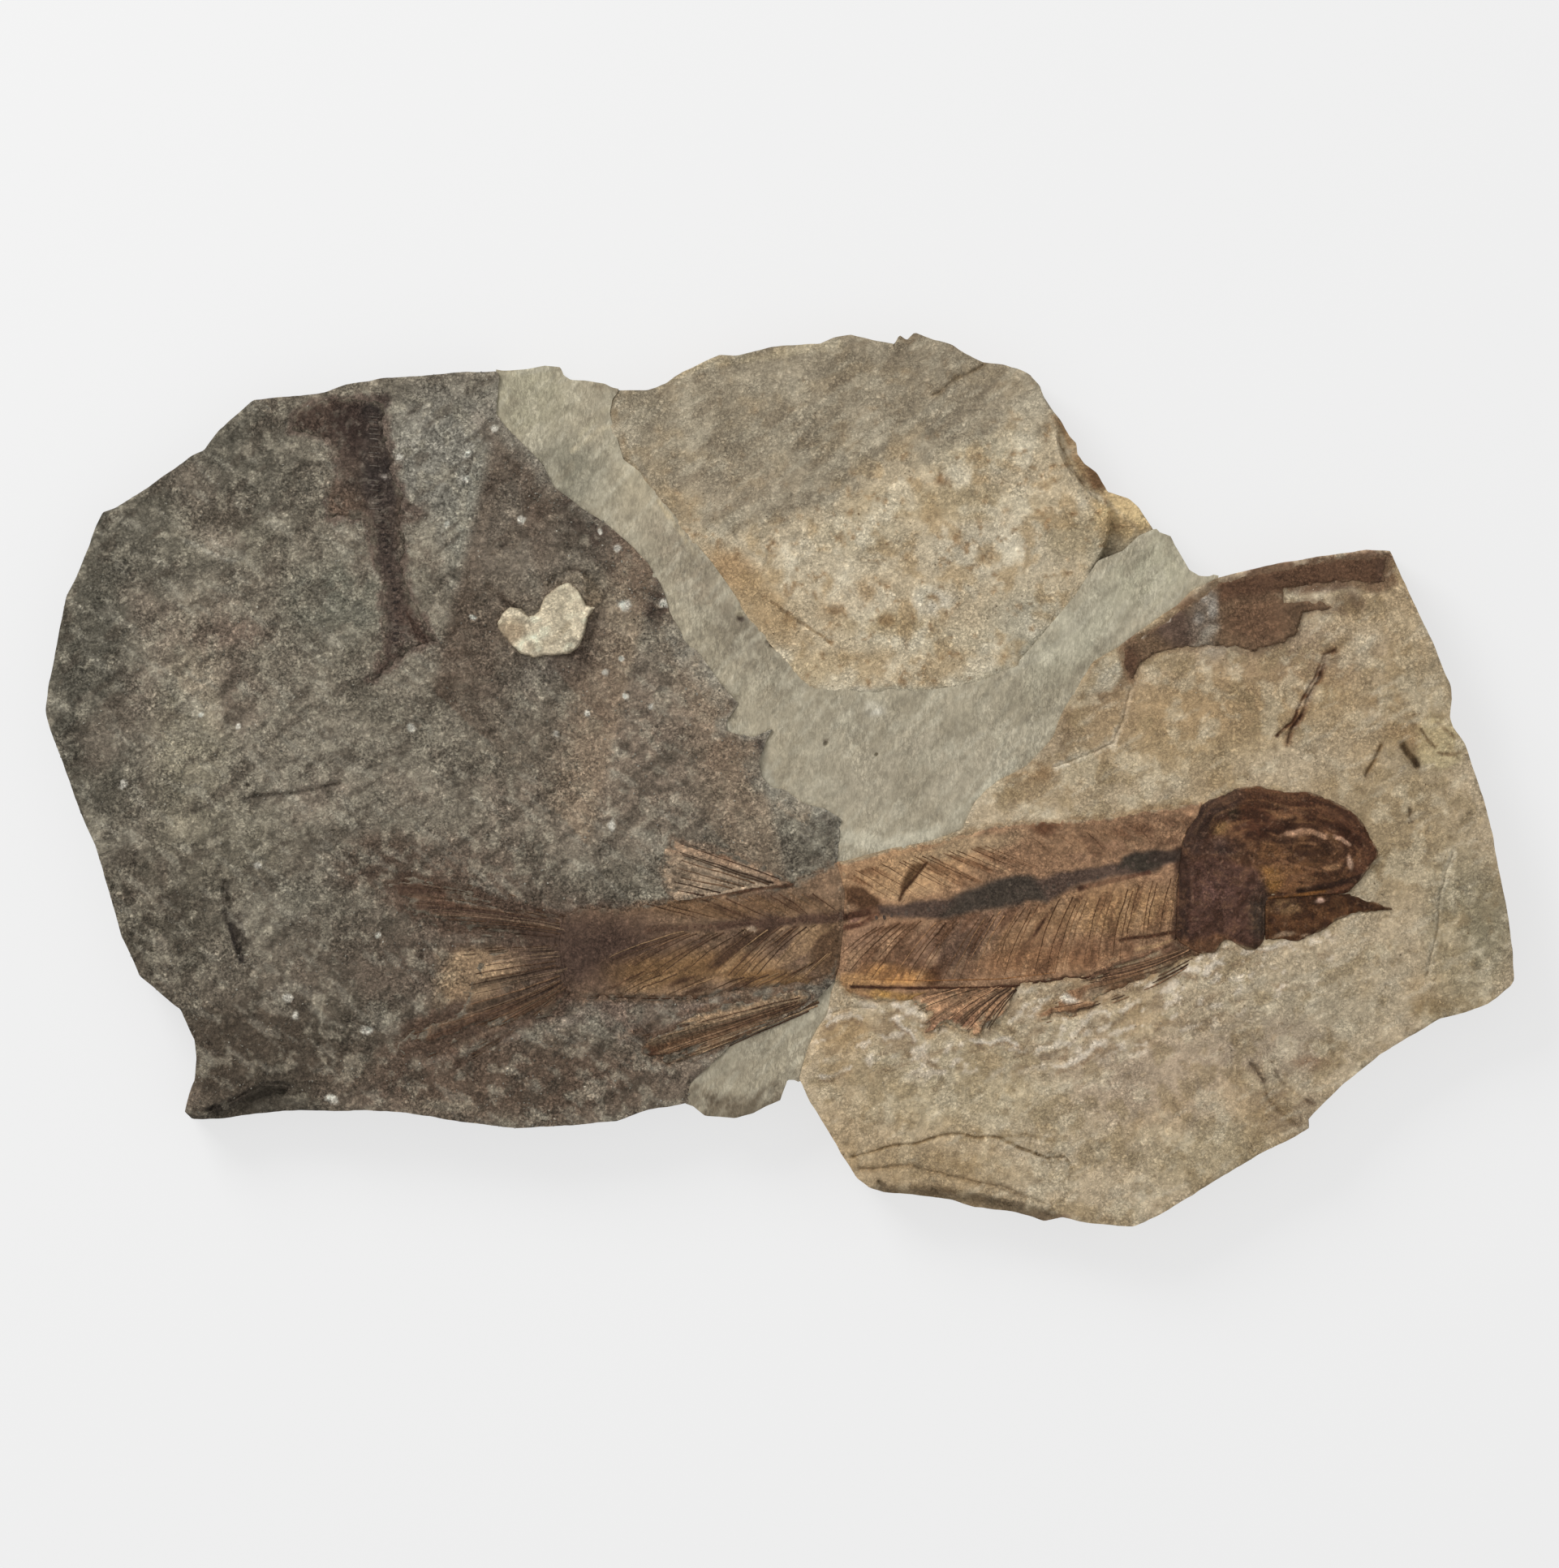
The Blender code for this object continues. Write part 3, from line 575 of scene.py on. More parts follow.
def mesh_object(name, points, faces, material):
    """A mesh object at the origin, with one material and smooth faces."""
    data = bpy.data.meshes.new(name)
    data.from_pydata(np.asarray(points).tolist(), [], [tuple(face) for face in faces])
    data.materials.append(material)
    data.shade_smooth()
    piece = bpy.data.objects.new(name, data)
    bpy.context.scene.collection.objects.link(piece)
    return piece


# %% The closed slab
RIM_PITCH = 0.9 * MM
BACK_PITCH = 3.5 * MM
LIP = 0.15 * MM
SHARP_ANGLE = math.radians(50)
LAYERS = (0.0, 0.1, 0.22, 0.24, 0.38, 0.4, 0.55, 0.57, 0.72, 0.74, 0.86, 0.88, 0.96)


def slab(name, outline, free, top, material, pitch, seed, closer=None, ragged=0.5 * MM, broken=1.1 * MM):
    """A closed slab. free is 1 at the outline's broken points and 0 at its joints, and top gives the
    height at any points. ragged is how far the edge wanders, and broken how deep the layers end."""
    pull = inward(outline)
    walk = np.cumsum(np.hypot(*(outline - np.roll(outline, 1, axis=0)).T))
    trail = np.stack((walk, np.zeros(len(walk))), 1)
    wander = ragged * 0.5 * rough(trail, 5 * MM, 4, seed) - 0.2 * MM * free
    edge = outline + pull * wander[:, None]
    rings = []
    for level, share in enumerate(LAYERS):
        strata = 0.5 + 0.5 * rough(trail, 9 * MM, 3, seed + 11 + level // 2)
        slope = 0.35 + 1.3 * max(EDGE_SHARE - share, 0) + 0.4 * max(share - EDGE_SHARE, 0)
        setback = broken * strata * slope * free
        ring = edge + pull * setback[:, None]
        rings.append(np.column_stack((ring, share * top(ring))))
    rim = edge + pull * (broken * 0.15 * (0.5 + 0.5 * rough(trail, 4 * MM, 3, seed + 40)) * free)[:, None]
    inner, triangles = net(rim, pitch, seed, closer)
    rings.append(np.column_stack((rim, top(rim) - LIP)))
    count = len(outline)
    below, below_triangles = net(rings[0][:, :2], BACK_PITCH, seed + 1)
    hollow = np.clip(rough(below, 14 * MM, 3, seed + 2), 0, 1) * 0.5 * MM
    points = np.vstack((*rings, np.column_stack((inner, top(inner))), np.column_stack((below, hollow))))
    faces = []
    for level in range(len(rings) - 1):
        start = level * count
        for i in range(count):
            j = (i + 1) % count
            faces.append((start + i, start + j, start + count + j, start + count + i))
    top_start = (len(rings) - 1) * count
    below_start = len(rings) * count + len(inner)
    for face in triangles:
        faces.append([top_start + k for k in face])
    for face in below_triangles:
        faces.append([k if k < count else below_start + k - count for k in reversed(face)])
    points[:, :2] = np.clip(points[:, :2], cad_box[0].xy, cad_box[1].xy)
    piece = mesh_object(name, points, faces, material)
    piece.data.set_sharp_from_angle(angle=SHARP_ANGLE)
    return piece, points


def is_free(outline, node):
    """1 where an outline's point is on the slab's own broken edge, and 0 where it meets another plate."""
    nearest = np.full(len(outline), 1e9)
    for other in PLATES:
        if other != node:
            nearest = np.minimum(nearest, distance_to(outline, edges_of[other], closed=True))
    return ramp(nearest, 0.6 * MM, 1.6 * MM)


def rim_of(node, overlap=0.0):
    """A plate's outline, which overlaps its joints by so many metres, and where it is free."""
    outline = evenly(edges_of[node], RIM_PITCH, closed=True)
    free = is_free(outline, node)
    return outline - inward(outline) * (overlap * (1 - free))[:, None], free


# %% [markdown]
# ## Relief shared by the plates
#
# A split face is never level. Noise gives the plates their waves, and the marks that the eye picks
# out, such as pits, steps, cracks and chips, are put in one by one at their own places. The height of
# the plain solid is read with rays from above, so the broken ledges at the edges come along.

# %% Heights of the solids and of single marks
RIM_REACH = 0.9 * MM
RIM_DROP = 0.3 * MM


def solid_top(node):
    """A function that gives a solid's top height. The solid's own edge slopes, so a point near it takes
    the greatest height within the rim's reach."""
    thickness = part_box(node)[1].z
    mesh = merged(node)
    tree = BVHTree.FromBMesh(mesh)
    mesh.free()
    turns = np.arange(8) * math.pi / 4
    around = np.stack((np.cos(turns), np.sin(turns)), 1) * RIM_REACH

    def drop(x, y):
        hit = tree.ray_cast(Vector((x, y, 1)), Vector((0, 0, -1)))[0]
        return 0.0 if hit is None else hit.z

    def height(points):
        heights = np.array([drop(x, y) for x, y in points])
        for i in np.flatnonzero(heights < thickness - RIM_DROP):
            heights[i] = max(heights[i], *(drop(x, y) for x, y in points[i] + around))
        return np.where(heights > 0, heights, thickness)

    return height


def dip(points, pixel, radius, depth):
    """A round hollow, with its middle and radius in pixels."""
    reach = np.hypot(*(points - spots([pixel])[0]).T) / (radius * PIXEL)
    return -depth * (1 - ramp(reach, 0.3, 1.1))


def crack(points, pixels, width, depth):
    """A groove along a line, its width in pixels."""
    return -depth * (1 - ramp(distance_to(points, spots(pixels)), 0, width * PIXEL))


def scab(points, pixels, rise, softness=5):
    """A raised or sunken patch inside an outline in pixels, with a ragged edge."""
    bend = np.stack((rough(points, 5 * MM, 3, 93), rough(points, 5 * MM, 3, 94)), 1) * 0.8 * MM
    return rise * ramp(depth_in(points + bend, spots(pixels)), -softness * PIXEL, softness * PIXEL)


def creases(points, size, seed):
    """Sharp low ridges between shallow hollows, from -1 to 1."""
    return 1 - 3 * np.abs(rough(points, size, 4, seed))


# %% Outlines of the fossils, and the level stone under them
FILMS = ("fish_trunk_front", "fish_trunk_rear", "fish_dorsal_fin", "fish_anal_fin", "fish_pectoral_fin",
         "fish_pelvic_fin", "fish_tail_fin", "fish_skull", "fish_lower_jaw", "second_fossil", "bone_patch",
         "limestone_flake")
film_outlines = {}
for node in FILMS:
    film_outlines[node] = section(node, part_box(node)[0].z + 0.1 * MM)
loop = evenly(film_outlines["fish_skull"], 0.4 * MM, closed=True)
for turn in range(3):
    loop = sum(np.roll(loop, step, axis=0) for step in range(-4, 5)) / 9
film_outlines["fish_skull"] = loop
print("fossil outlines:", {name: len(loop) for name, loop in film_outlines.items()})


def stained(paint, nodes, colour, strength, reach):
    """A ragged stain of a fossil's colour on the stone round it, reaching so many metres."""
    for node in nodes:
        outline = film_outlines[node]
        low, high = outline.min(0) - reach * 2, outline.max(0) + reach * 2
        near = np.all((paint.points > low) & (paint.points < high), axis=1)
        beside = paint.points[near]
        far = np.full(len(paint.points), 1e3)
        far[near] = -depth_in(beside, outline) + reach * rough(beside, 2.6 * MM, 4, 97)
        paint.wash(colour, strength * (1 - ramp(far, 0, reach)))


def under_fossils(points):
    """1 under the fossils, where the plate stays level, and 0 away from them."""
    cover = np.zeros(len(points))
    for outline in film_outlines.values():
        low, high = outline.min(0) - 2 * MM, outline.max(0) + 2 * MM
        near = np.all((points > low) & (points < high), axis=1)
        if near.any():
            cover[near] = np.maximum(cover[near], ramp(depth_in(points[near], outline), -1 * MM, 0.5 * MM))
    return cover


# %% [markdown]
# ## Rays between two lines
#
# Ribs, spines and fin rays all run from one line to another: ribs from the backbone to the belly, fin
# rays from the root to the tip. One small class holds such a pair of lines. It tells for any point
# between which rays it lies, so stone and film can be grooved and tinted along them, and it lays out the
# rays themselves, which Geometry Nodes later turn into slim bones.

# %% A fan of rays
class Fan:
    """Rays from points along one line, in pixels, to points along another."""

    def __init__(self, start, end, count, bend=0.0):
        self.start, self.end = pairs(start), pairs(end)
        self.count, self.bend = count, bend

    def ends(self, shares):
        """Both ends of the rays at shares from 0 to 1 along the lines."""
        found = []
        for pixels in (self.start, self.end):
            path = np.array(pixels, float)
            lengths = np.hypot(*np.diff(path, axis=0).T)
            stations = np.concatenate(([0], np.cumsum(lengths))) / lengths.sum()
            found.append(np.stack([np.interp(shares, stations, path[:, k]) for k in (0, 1)], 1))
        return found

    def curve(self, share, steps, low=0.0, high=1.0):
        """Points along one ray, bowed to the side by the bend."""
        (a,), (b,) = self.ends(np.array([share]))
        t = np.linspace(low, high, steps)[:, None]
        side = np.array((-(b - a)[1], (b - a)[0]))
        return a + (b - a) * t + side * self.bend * 4 * t * (1 - t)

    def place(self, points):
        """Each point's share across the fan and along its ray."""
        pixels = pixels_of(points)
        starts, ends = self.ends(np.linspace(0, 1, 41))
        run = ends - starts
        offset = pixels[:, None, :] - starts[None]
        t = np.clip((offset * run).sum(2) / (run * run).sum(1), 0, 1)
        bow = np.stack((-run[:, 1], run[:, 0]), 1)[None] * (self.bend * 4 * t * (1 - t))[:, :, None]
        bowed = offset - bow
        side = run[:, 0] * bowed[:, :, 1] - run[:, 1] * bowed[:, :, 0]
        last = starts[-1] + ends[-1] - starts[0] - ends[0]
        side *= np.sign(run[0, 0] * last[1] - run[0, 1] * last[0])
        passed = np.clip((side > 0).sum(1), 1, 40)
        rows = np.arange(len(pixels))
        before, after = side[rows, passed - 1], side[rows, passed]
        share = (passed - 1 + np.clip(before / np.where(before == after, 1, before - after), 0, 1)) / 40
        return share, t[rows, passed]

    def fibres(self, points, seed, width=0.8, stretch=9):
        """Noise from -1 to 1 that is drawn out along the rays, its width a share of their spacing."""
        share, along_ray = self.place(points)
        grid = np.stack((share * self.count, along_ray * self.count / stretch), 1)
        return rough(grid, width * 2, 3, seed)

    def inside(self, points):
        """1 between the two lines of the fan, and 0 outside it."""
        share, along_ray = self.place(points)
        within = ramp(share, 0.0, 0.03) * (1 - ramp(share, 0.97, 1.0))
        return within * ramp(along_ray, 0.0, 0.06) * (1 - ramp(along_ray, 0.92, 1.0))


def lay_fibres(paint, fan, seed, dark, pale, deep, light):
    """Dark and pale fibres along a fan's rays, with their strengths."""
    grain = fan.fibres(paint.points, seed)
    within = fan.inside(paint.points)
    paint.wash(dark, deep * ramp(grain, 0.02, 0.5) * within)
    paint.wash(pale, light * ramp(-grain, 0.08, 0.55) * within)


# %% The fans of the fins
FIN_FANS = {
    "fish_dorsal_fin": [
        Fan("976,1086 940,1090 905,1096 868,1104", "828,1030 824,1052 824,1076 828,1100", 13)],
    "fish_anal_fin": [
        Fan("1004,1222 1012,1230 1014,1238", "770,1270 800,1300 850,1312", 12)],
    "fish_pectoral_fin": [
        Fan("1478,1156 1484,1166 1488,1176", "1330,1196 1296,1226 1288,1262", 15, -0.05)],
    "fish_pelvic_fin": [
        Fan("1232,1208 1246,1212 1256,1216", "1118,1226 1136,1268 1222,1270", 20, 0.04)],
    "fish_tail_fin": [
        Fan("712,1130 712,1146 712,1160", "468,1070 500,1112 556,1160", 15, 0.03),
        Fan("712,1160 712,1178 712,1192", "548,1160 534,1196 540,1236", 14),
        Fan("712,1192 706,1208 694,1222", "490,1256 480,1304 560,1320", 13, -0.03)]}
print("fin rays:", {node: sum(fan.count for fan in fans) for node, fans in FIN_FANS.items()})


def rayed(paint, nodes, dark, pale, deep, light):
    """Faint rays on the stone, the print that a fin leaves beside its film."""
    for node in nodes:
        for fan in FIN_FANS[node]:
            lay_fibres(paint, fan, 3, dark, pale, deep, light)


def root_of_tail(paint):
    """The dark root of the tail, which runs over the joint between the trunk and the fin."""
    root = paint.oval((694, 1172), (72, 66), 0, 0.8)
    paint.wash(TAIL_ROOT, 0.85 * root)
    if paint.edge is not None:
        paint.edge = paint.edge * (1 - root)


# %% [markdown]
# ## The dark plate
#
# The plate under the fish's tail is a dark shaly stone. Its face is split, not polished: it is
# scabby, with shallow scales, small pits and pale grains. The mesh gets that relief from three sizes
# of noise, and a few pits and steps are put in one by one.

# %% Shape of the dark plate
PLATE_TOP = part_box("dark_slate_plate")[1].z
DARK_PITCH = 0.8 * MM
DARK_PITS = pairs("393,1286,6 140,1095,6 306,968,4 690,905,4 520,1180,4")
DARK_CRACKS = wandering_cracks(
    "dark",
    "278,1086 276,1106 280,1128 288,1150 299,1182",
    "250,1372 275,1362 300,1350 330,1335 358,1338",
    "300,985 340,980 380,975 420,966",
    "676,722 684,708 700,702 722,708",
    "600,720 618,735 630,748 645,752",
    "700,808 718,800 730,780 738,756")
PATHS["dark_ring"] = DARK_CRACKS[3][:24]
PATHS["pale_chips"] = "818,772 842,768 868,800 905,862 890,880 858,846 830,812"
PATHS["low_chips"] = "922,962 962,968 1012,1000 1030,1030 1000,1056 958,1030 930,1000"
PATHS["scab"] = "224,664 250,650 286,652 304,668 296,690 262,696 240,682"
PALE_SPOTS = pairs(
    "506,897,6 296,896,4 322,1064,4 363,1250,5 552,647,4 573,594,5 581,564,5 495,564,5 611,528,5 "
    "581,759,4 765,812,4 743,827,4 723,880,4 769,859,4 757,1018,6 455,1270,6 412,1352,6 352,1232,6 "
    "760,678,5 740,655,4 770,742,6 800,872,4 818,745,7 640,640,4 690,905,4 250,880,4 150,965,4 "
    "470,1150,4")
dark_base = solid_top("dark_slate_plate")


def dark_top(points):
    height = dark_base(points)
    calm = 1 - 0.8 * under_fossils(points)
    height += (0.35 * rough(points, 22 * MM, 4, 5) + 0.26 * rough(points, 3.5 * MM, 3, 6)) * MM * calm
    scales = rough(points, 30 * MM, 4, 8)
    height += 0.3 * MM * (ramp(scales, 0.02, 0.08) + ramp(scales, -0.35, -0.28) - 1) * calm
    height += 0.3 * MM * (creases(points, 9 * MM, 7) + 0.7 * creases(points, 4 * MM, 9)) * calm
    for x, y, radius in DARK_PITS:
        height += dip(points, (x, y), radius, 0.9 * MM)
    for pixels in DARK_CRACKS:
        height += crack(points, pixels, 4, 0.6 * MM)
    for name in ("pale_chips", "low_chips", "scab"):
        height += scab(points, PATHS[name], 0.4 * MM, 3)
    return height - 0.25 * MM


outline, free = rim_of("dark_slate_plate", 0.15 * MM)
dark_plate, dark_points = slab("dark_plate_stone", outline, free, dark_top, FINISHES["dark_slate"],
                               DARK_PITCH, 21, closer_points(DARK_CRACKS, DARK_PITS + PALE_SPOTS))
print("dark plate:", len(dark_plate.data.polygons), "faces")

# %% Colour of the dark plate
# Painted shadow: the dark rows through 700,770, 722,810 and 640,816 lay the raised flake's shade on the
# stone along its lower and right edges.
# Painted shadow: the row 286,1104 291,1130 298,1160 is the shade that the crescent step throws on the lower
# stone to its right.
DARK_WASHES = """
92 88 77 .8 oval 230,600 170,120 30
94 90 79 .9 oval 110,840 70,230 0
92 85 73 .9 oval 190,1130 80,90 0
160 151 130 .9 oval 237,915 50,160 -3
132 125 108 .7 oval 300,1040 60,60 0
134 127 110 .6 oval 275,665 75,34 0
136 118 103 .8 oval 285,782 50,20 0
84 76 66 .7 oval 290,845 16,55 0
136 128 113 .6 oval 470,940 170,90 0
112 111 98 .7 oval 420,740 70,60 0
136 132 121 .85 oval 555,565 105,90 -30
152 149 138 .55 oval 635,555 70,40 -48
134 132 122 .5 oval 640,860 70,50 0
136 121 105 .9 oval 770,930 180,120 0
120 106 92 .7 oval 560,1060 120,40 0
118 113 100 .6 oval 360,1130 70,60 0
98 88 76 .8 oval 440,1180 120,60 0
80 70 59 .95 oval 320,1300 150,90 5
104 88 74 1.0 oval 640,1330 230,60 0
92 79 67 .7 oval 560,1190 130,70 10
94 78 66 .8 oval 470,1060 60,26 25
66 55 48 .95 line 706,634 748,668 788,704 812,744 50
136 131 118 .7 oval 610,650 70,46 30
92 82 74 .6 line 700,770 745,800 690,822 40
128 112 90 .8 patch 680,722 690,706 722,708 748,742 730,760 690,745 4
84 75 64 .7 line dark_ring 5 0
84 75 66 .5 line 722,810 738,785 740,758 22
84 75 66 .6 line 640,816 690,824 722,812 12
148 144 130 .6 patch 545,640 590,566 650,556 694,620 716,692 690,716 600,744 548,716 16 1.5
156 151 138 .85 patch pale_chips 6
146 140 124 .7 patch low_chips 7
158 152 140 .5 line 488,549 520,546 548,550 7
54 48 43 .95 line dark0 8 0
70 63 55 .8 line 286,1104 291,1130 298,1160 12 .1
54 47 41 .85 line dark1 8 0
150 140 124 .7 line 198,1160 206,1188 214,1212 16
152 143 128 .7 line 335,1222 362,1214 392,1228 12
162 152 138 .6 line 700,1262 742,1250 768,1285 782,1268 7
150 140 122 .7 oval 555,1362 40,9 0
80 74 65 .6 line dark2 6 0
74 66 57 .7 line dark4 7 0
62 54 48 .8 line 905,862 898,890 935,915 950,935 925,960 10
72 64 56 .6 line 1008,1000 1034,1022 1030,1060 6
146 138 122 .6 patch scab 4
172 166 150 .8 line 228,668 250,678 286,692 298,688 5
166 160 146 .7 line 490,549 520,545 550,550 556,562 5
130 110 96 .8 patch 730,1234 1000,1230 960,1248 870,1276 760,1282 8
184 168 152 .85 line 868,1238 846,1250 812,1263 780,1270 7
188 172 154 .85 line 952,1238 930,1244 7
96 70 54 .8 line 900,1232 840,1250 764,1276 7
178 164 148 .7 line 520,1314 600,1284 680,1270 740,1240 6
178 164 148 .6 line 640,1262 700,1256 730,1240 5
122 90 72 .6 line 700,1226 650,1246 560,1290 14
176 162 146 .6 line 478,1094 500,1100 522,1106 5
176 162 146 .5 line 560,1106 600,1120 5
84 66 56 .7 oval 740,1120 50,12 0
72 60 54 .85 patch 396,492 440,487 480,484 484,502 440,512 400,506 4
112 92 80 .6 oval 510,632 20,12 30
104 82 66 .7 oval 900,1092 80,12 -6
100 83 70 .6 line 706,1144 600,1112 470,1070 80 1.5
98 81 68 .6 line 700,1206 600,1252 480,1308 80 1.5
176 150 118 .85 patch 540,1170 640,1166 650,1206 540,1240 12 1.5
90 84 72 .4 spread 16 5 4 .05 .5
146 128 112 .35 spread 20 4 6 .0 .6
78 70 60 .5 drawn 2.8 40 3 3 .12 .34
160 152 134 .5 spread 3.4 4 5 .16 .36
170 164 148 .35 drawn 2.2 -35 4 8 .25 .45"""
TAIL_ROOT = (86, 68, 58)
PATHS["tail_gold"] = "566,1168 646,1168 640,1200 600,1226 552,1234 545,1200"
paint = Paint(dark_points, (131, 122, 107), 31)
paint.rows(DARK_WASHES)
stained(paint, ["fish_tail_fin"], (96, 78, 65), 0.75, 3.0 * MM)
stained(paint, ["fish_trunk_rear", "fish_anal_fin"], (118, 95, 76), 0.8, 1.6 * MM)
stained(paint, ["fish_dorsal_fin"], (134, 112, 93), 0.6, 1.2 * MM)
rayed(paint, ["fish_tail_fin", "fish_dorsal_fin", "fish_anal_fin"], (84, 67, 55), (160, 138, 114), 0.6, 0.5)
paint.rows("184 156 122 .6 patch tail_gold 8")
root_of_tail(paint)
stained(paint, ["second_fossil"], (100, 84, 74), 0.7, 2.2 * MM)
for x, y, size in PALE_SPOTS:
    paint.wash((206, 200, 186), 0.95 * paint.oval((x, y), (size, size), 0, 0.3))
smear = distance_to(paint.points, edges_of["grey_cement_joint"], closed=True)
smear = 1 - ramp(smear + 4 * MM * rough(paint.points, 5 * MM, 4, 99), 0, 5 * MM)
bare = paint.line("702,630 745,662 790,700 818,740", 70)
paint.wash((152, 147, 133), 0.65 * smear * (1 - bare))
paint.shade(0.23 + 0.12 * rough(paint.points, 1.7 * MM, 2, 44))
paint.beds((88, 81, 70), 0.9, 0.96)
tint(dark_plate, paint.light())
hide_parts("dark_slate_plate")
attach(dark_plate, "root")

# %% [markdown]
# ## The tan plate
#
# The fish's head lies on a warm limestone. It splits more evenly than the slate, so its relief is
# lower. What shows on it are cracks, a broken lower ledge, and small strokes of the chisel that
# cleared the stone from the fins.

# %% Shape of the tan plate
TAN_PITCH = 0.85 * MM
TAN_CRACKS = wandering_cracks(
    "tan",
    "1644,801 1634,804 1629,821 1620,844 1606,872 1592,895 1586,916",
    "1631,807 1622,825 1611,853 1597,874 1590,891 1573,906",
    "1725,915 1733,928 1745,944",
    "1701,918 1692,936 1682,957",
    "1736,998 1739,1013",
    "1050,1425 1075,1418 1100,1411 1125,1409 1150,1401 1175,1396 1200,1400 1230,1401 1250,1413 "
    "1290,1426 1312,1423 1320,1438",
    "1060,1440 1120,1436 1180,1452 1240,1462 1285,1482",
    "1540,1310 1556,1330 1562,1352 1580,1372 1600,1388",
    "1570,1318 1584,1340 1604,1352 1618,1360",
    "1346,812 1334,832 1322,856",
    "1300,945 1338,930 1371,914 1385,888 1392,850",
    "1025,1248 1050,1242 1078,1243",
    "1790,1050 1772,1100 1770,1150 1758,1200")
CHISEL_MARKS = [
    "1100,1240 1122,1248 1150,1264", "1105,1256 1128,1280", "1140,1286 1152,1306",
    "1200,1278 1226,1276 1250,1286", "1240,1262 1262,1254", "1280,1292 1310,1284",
    "1320,1272 1344,1256 1362,1246", "1290,1306 1330,1298 1362,1290",
    "1380,1238 1400,1226", "1480,1190 1502,1186", "1545,1168 1566,1164 1600,1150",
    "1020,1262 1040,1256 1066,1258", "1010,1330 1046,1312", "1450,1198 1470,1190"]
CLEARED = "1000,1236 1250,1228 1480,1160 1640,1140 1640,1200 1400,1300 1140,1330 1010,1300"
tan_base = solid_top("tan_limestone_plate")


def tan_top(points):
    height = tan_base(points)
    calm = 1 - 0.8 * under_fossils(points)
    height += (0.4 * rough(points, 40 * MM, 3, 15) + 0.15 * rough(points, 4 * MM, 3, 16)) * MM * calm
    scales = rough(points, 34 * MM, 4, 18)
    height += 0.25 * MM * (ramp(scales, 0.1, 0.15) + ramp(scales, -0.3, -0.25) - 1) * calm
    height += 0.2 * MM * (creases(points, 10 * MM, 17) + 0.7 * creases(points, 4 * MM, 19)) * calm
    for pixels in TAN_CRACKS:
        height += crack(points, pixels, 3, 0.5 * MM)
    cleared = depth_in(points, spots(CLEARED))
    height += 0.55 * MM * ramp(cleared, -4 * MM, 4 * MM) * rough(points, 6 * MM, 4, 19) * calm
    return height - 0.2 * MM


outline, free = rim_of("tan_limestone_plate", 0.15 * MM)
tan_plate, tan_points = slab("tan_plate_stone", outline, free, tan_top, FINISHES["tan_limestone"],
                             TAN_PITCH, 22, closer_points(TAN_CRACKS))
print("tan plate:", len(tan_plate.data.polygons), "faces")
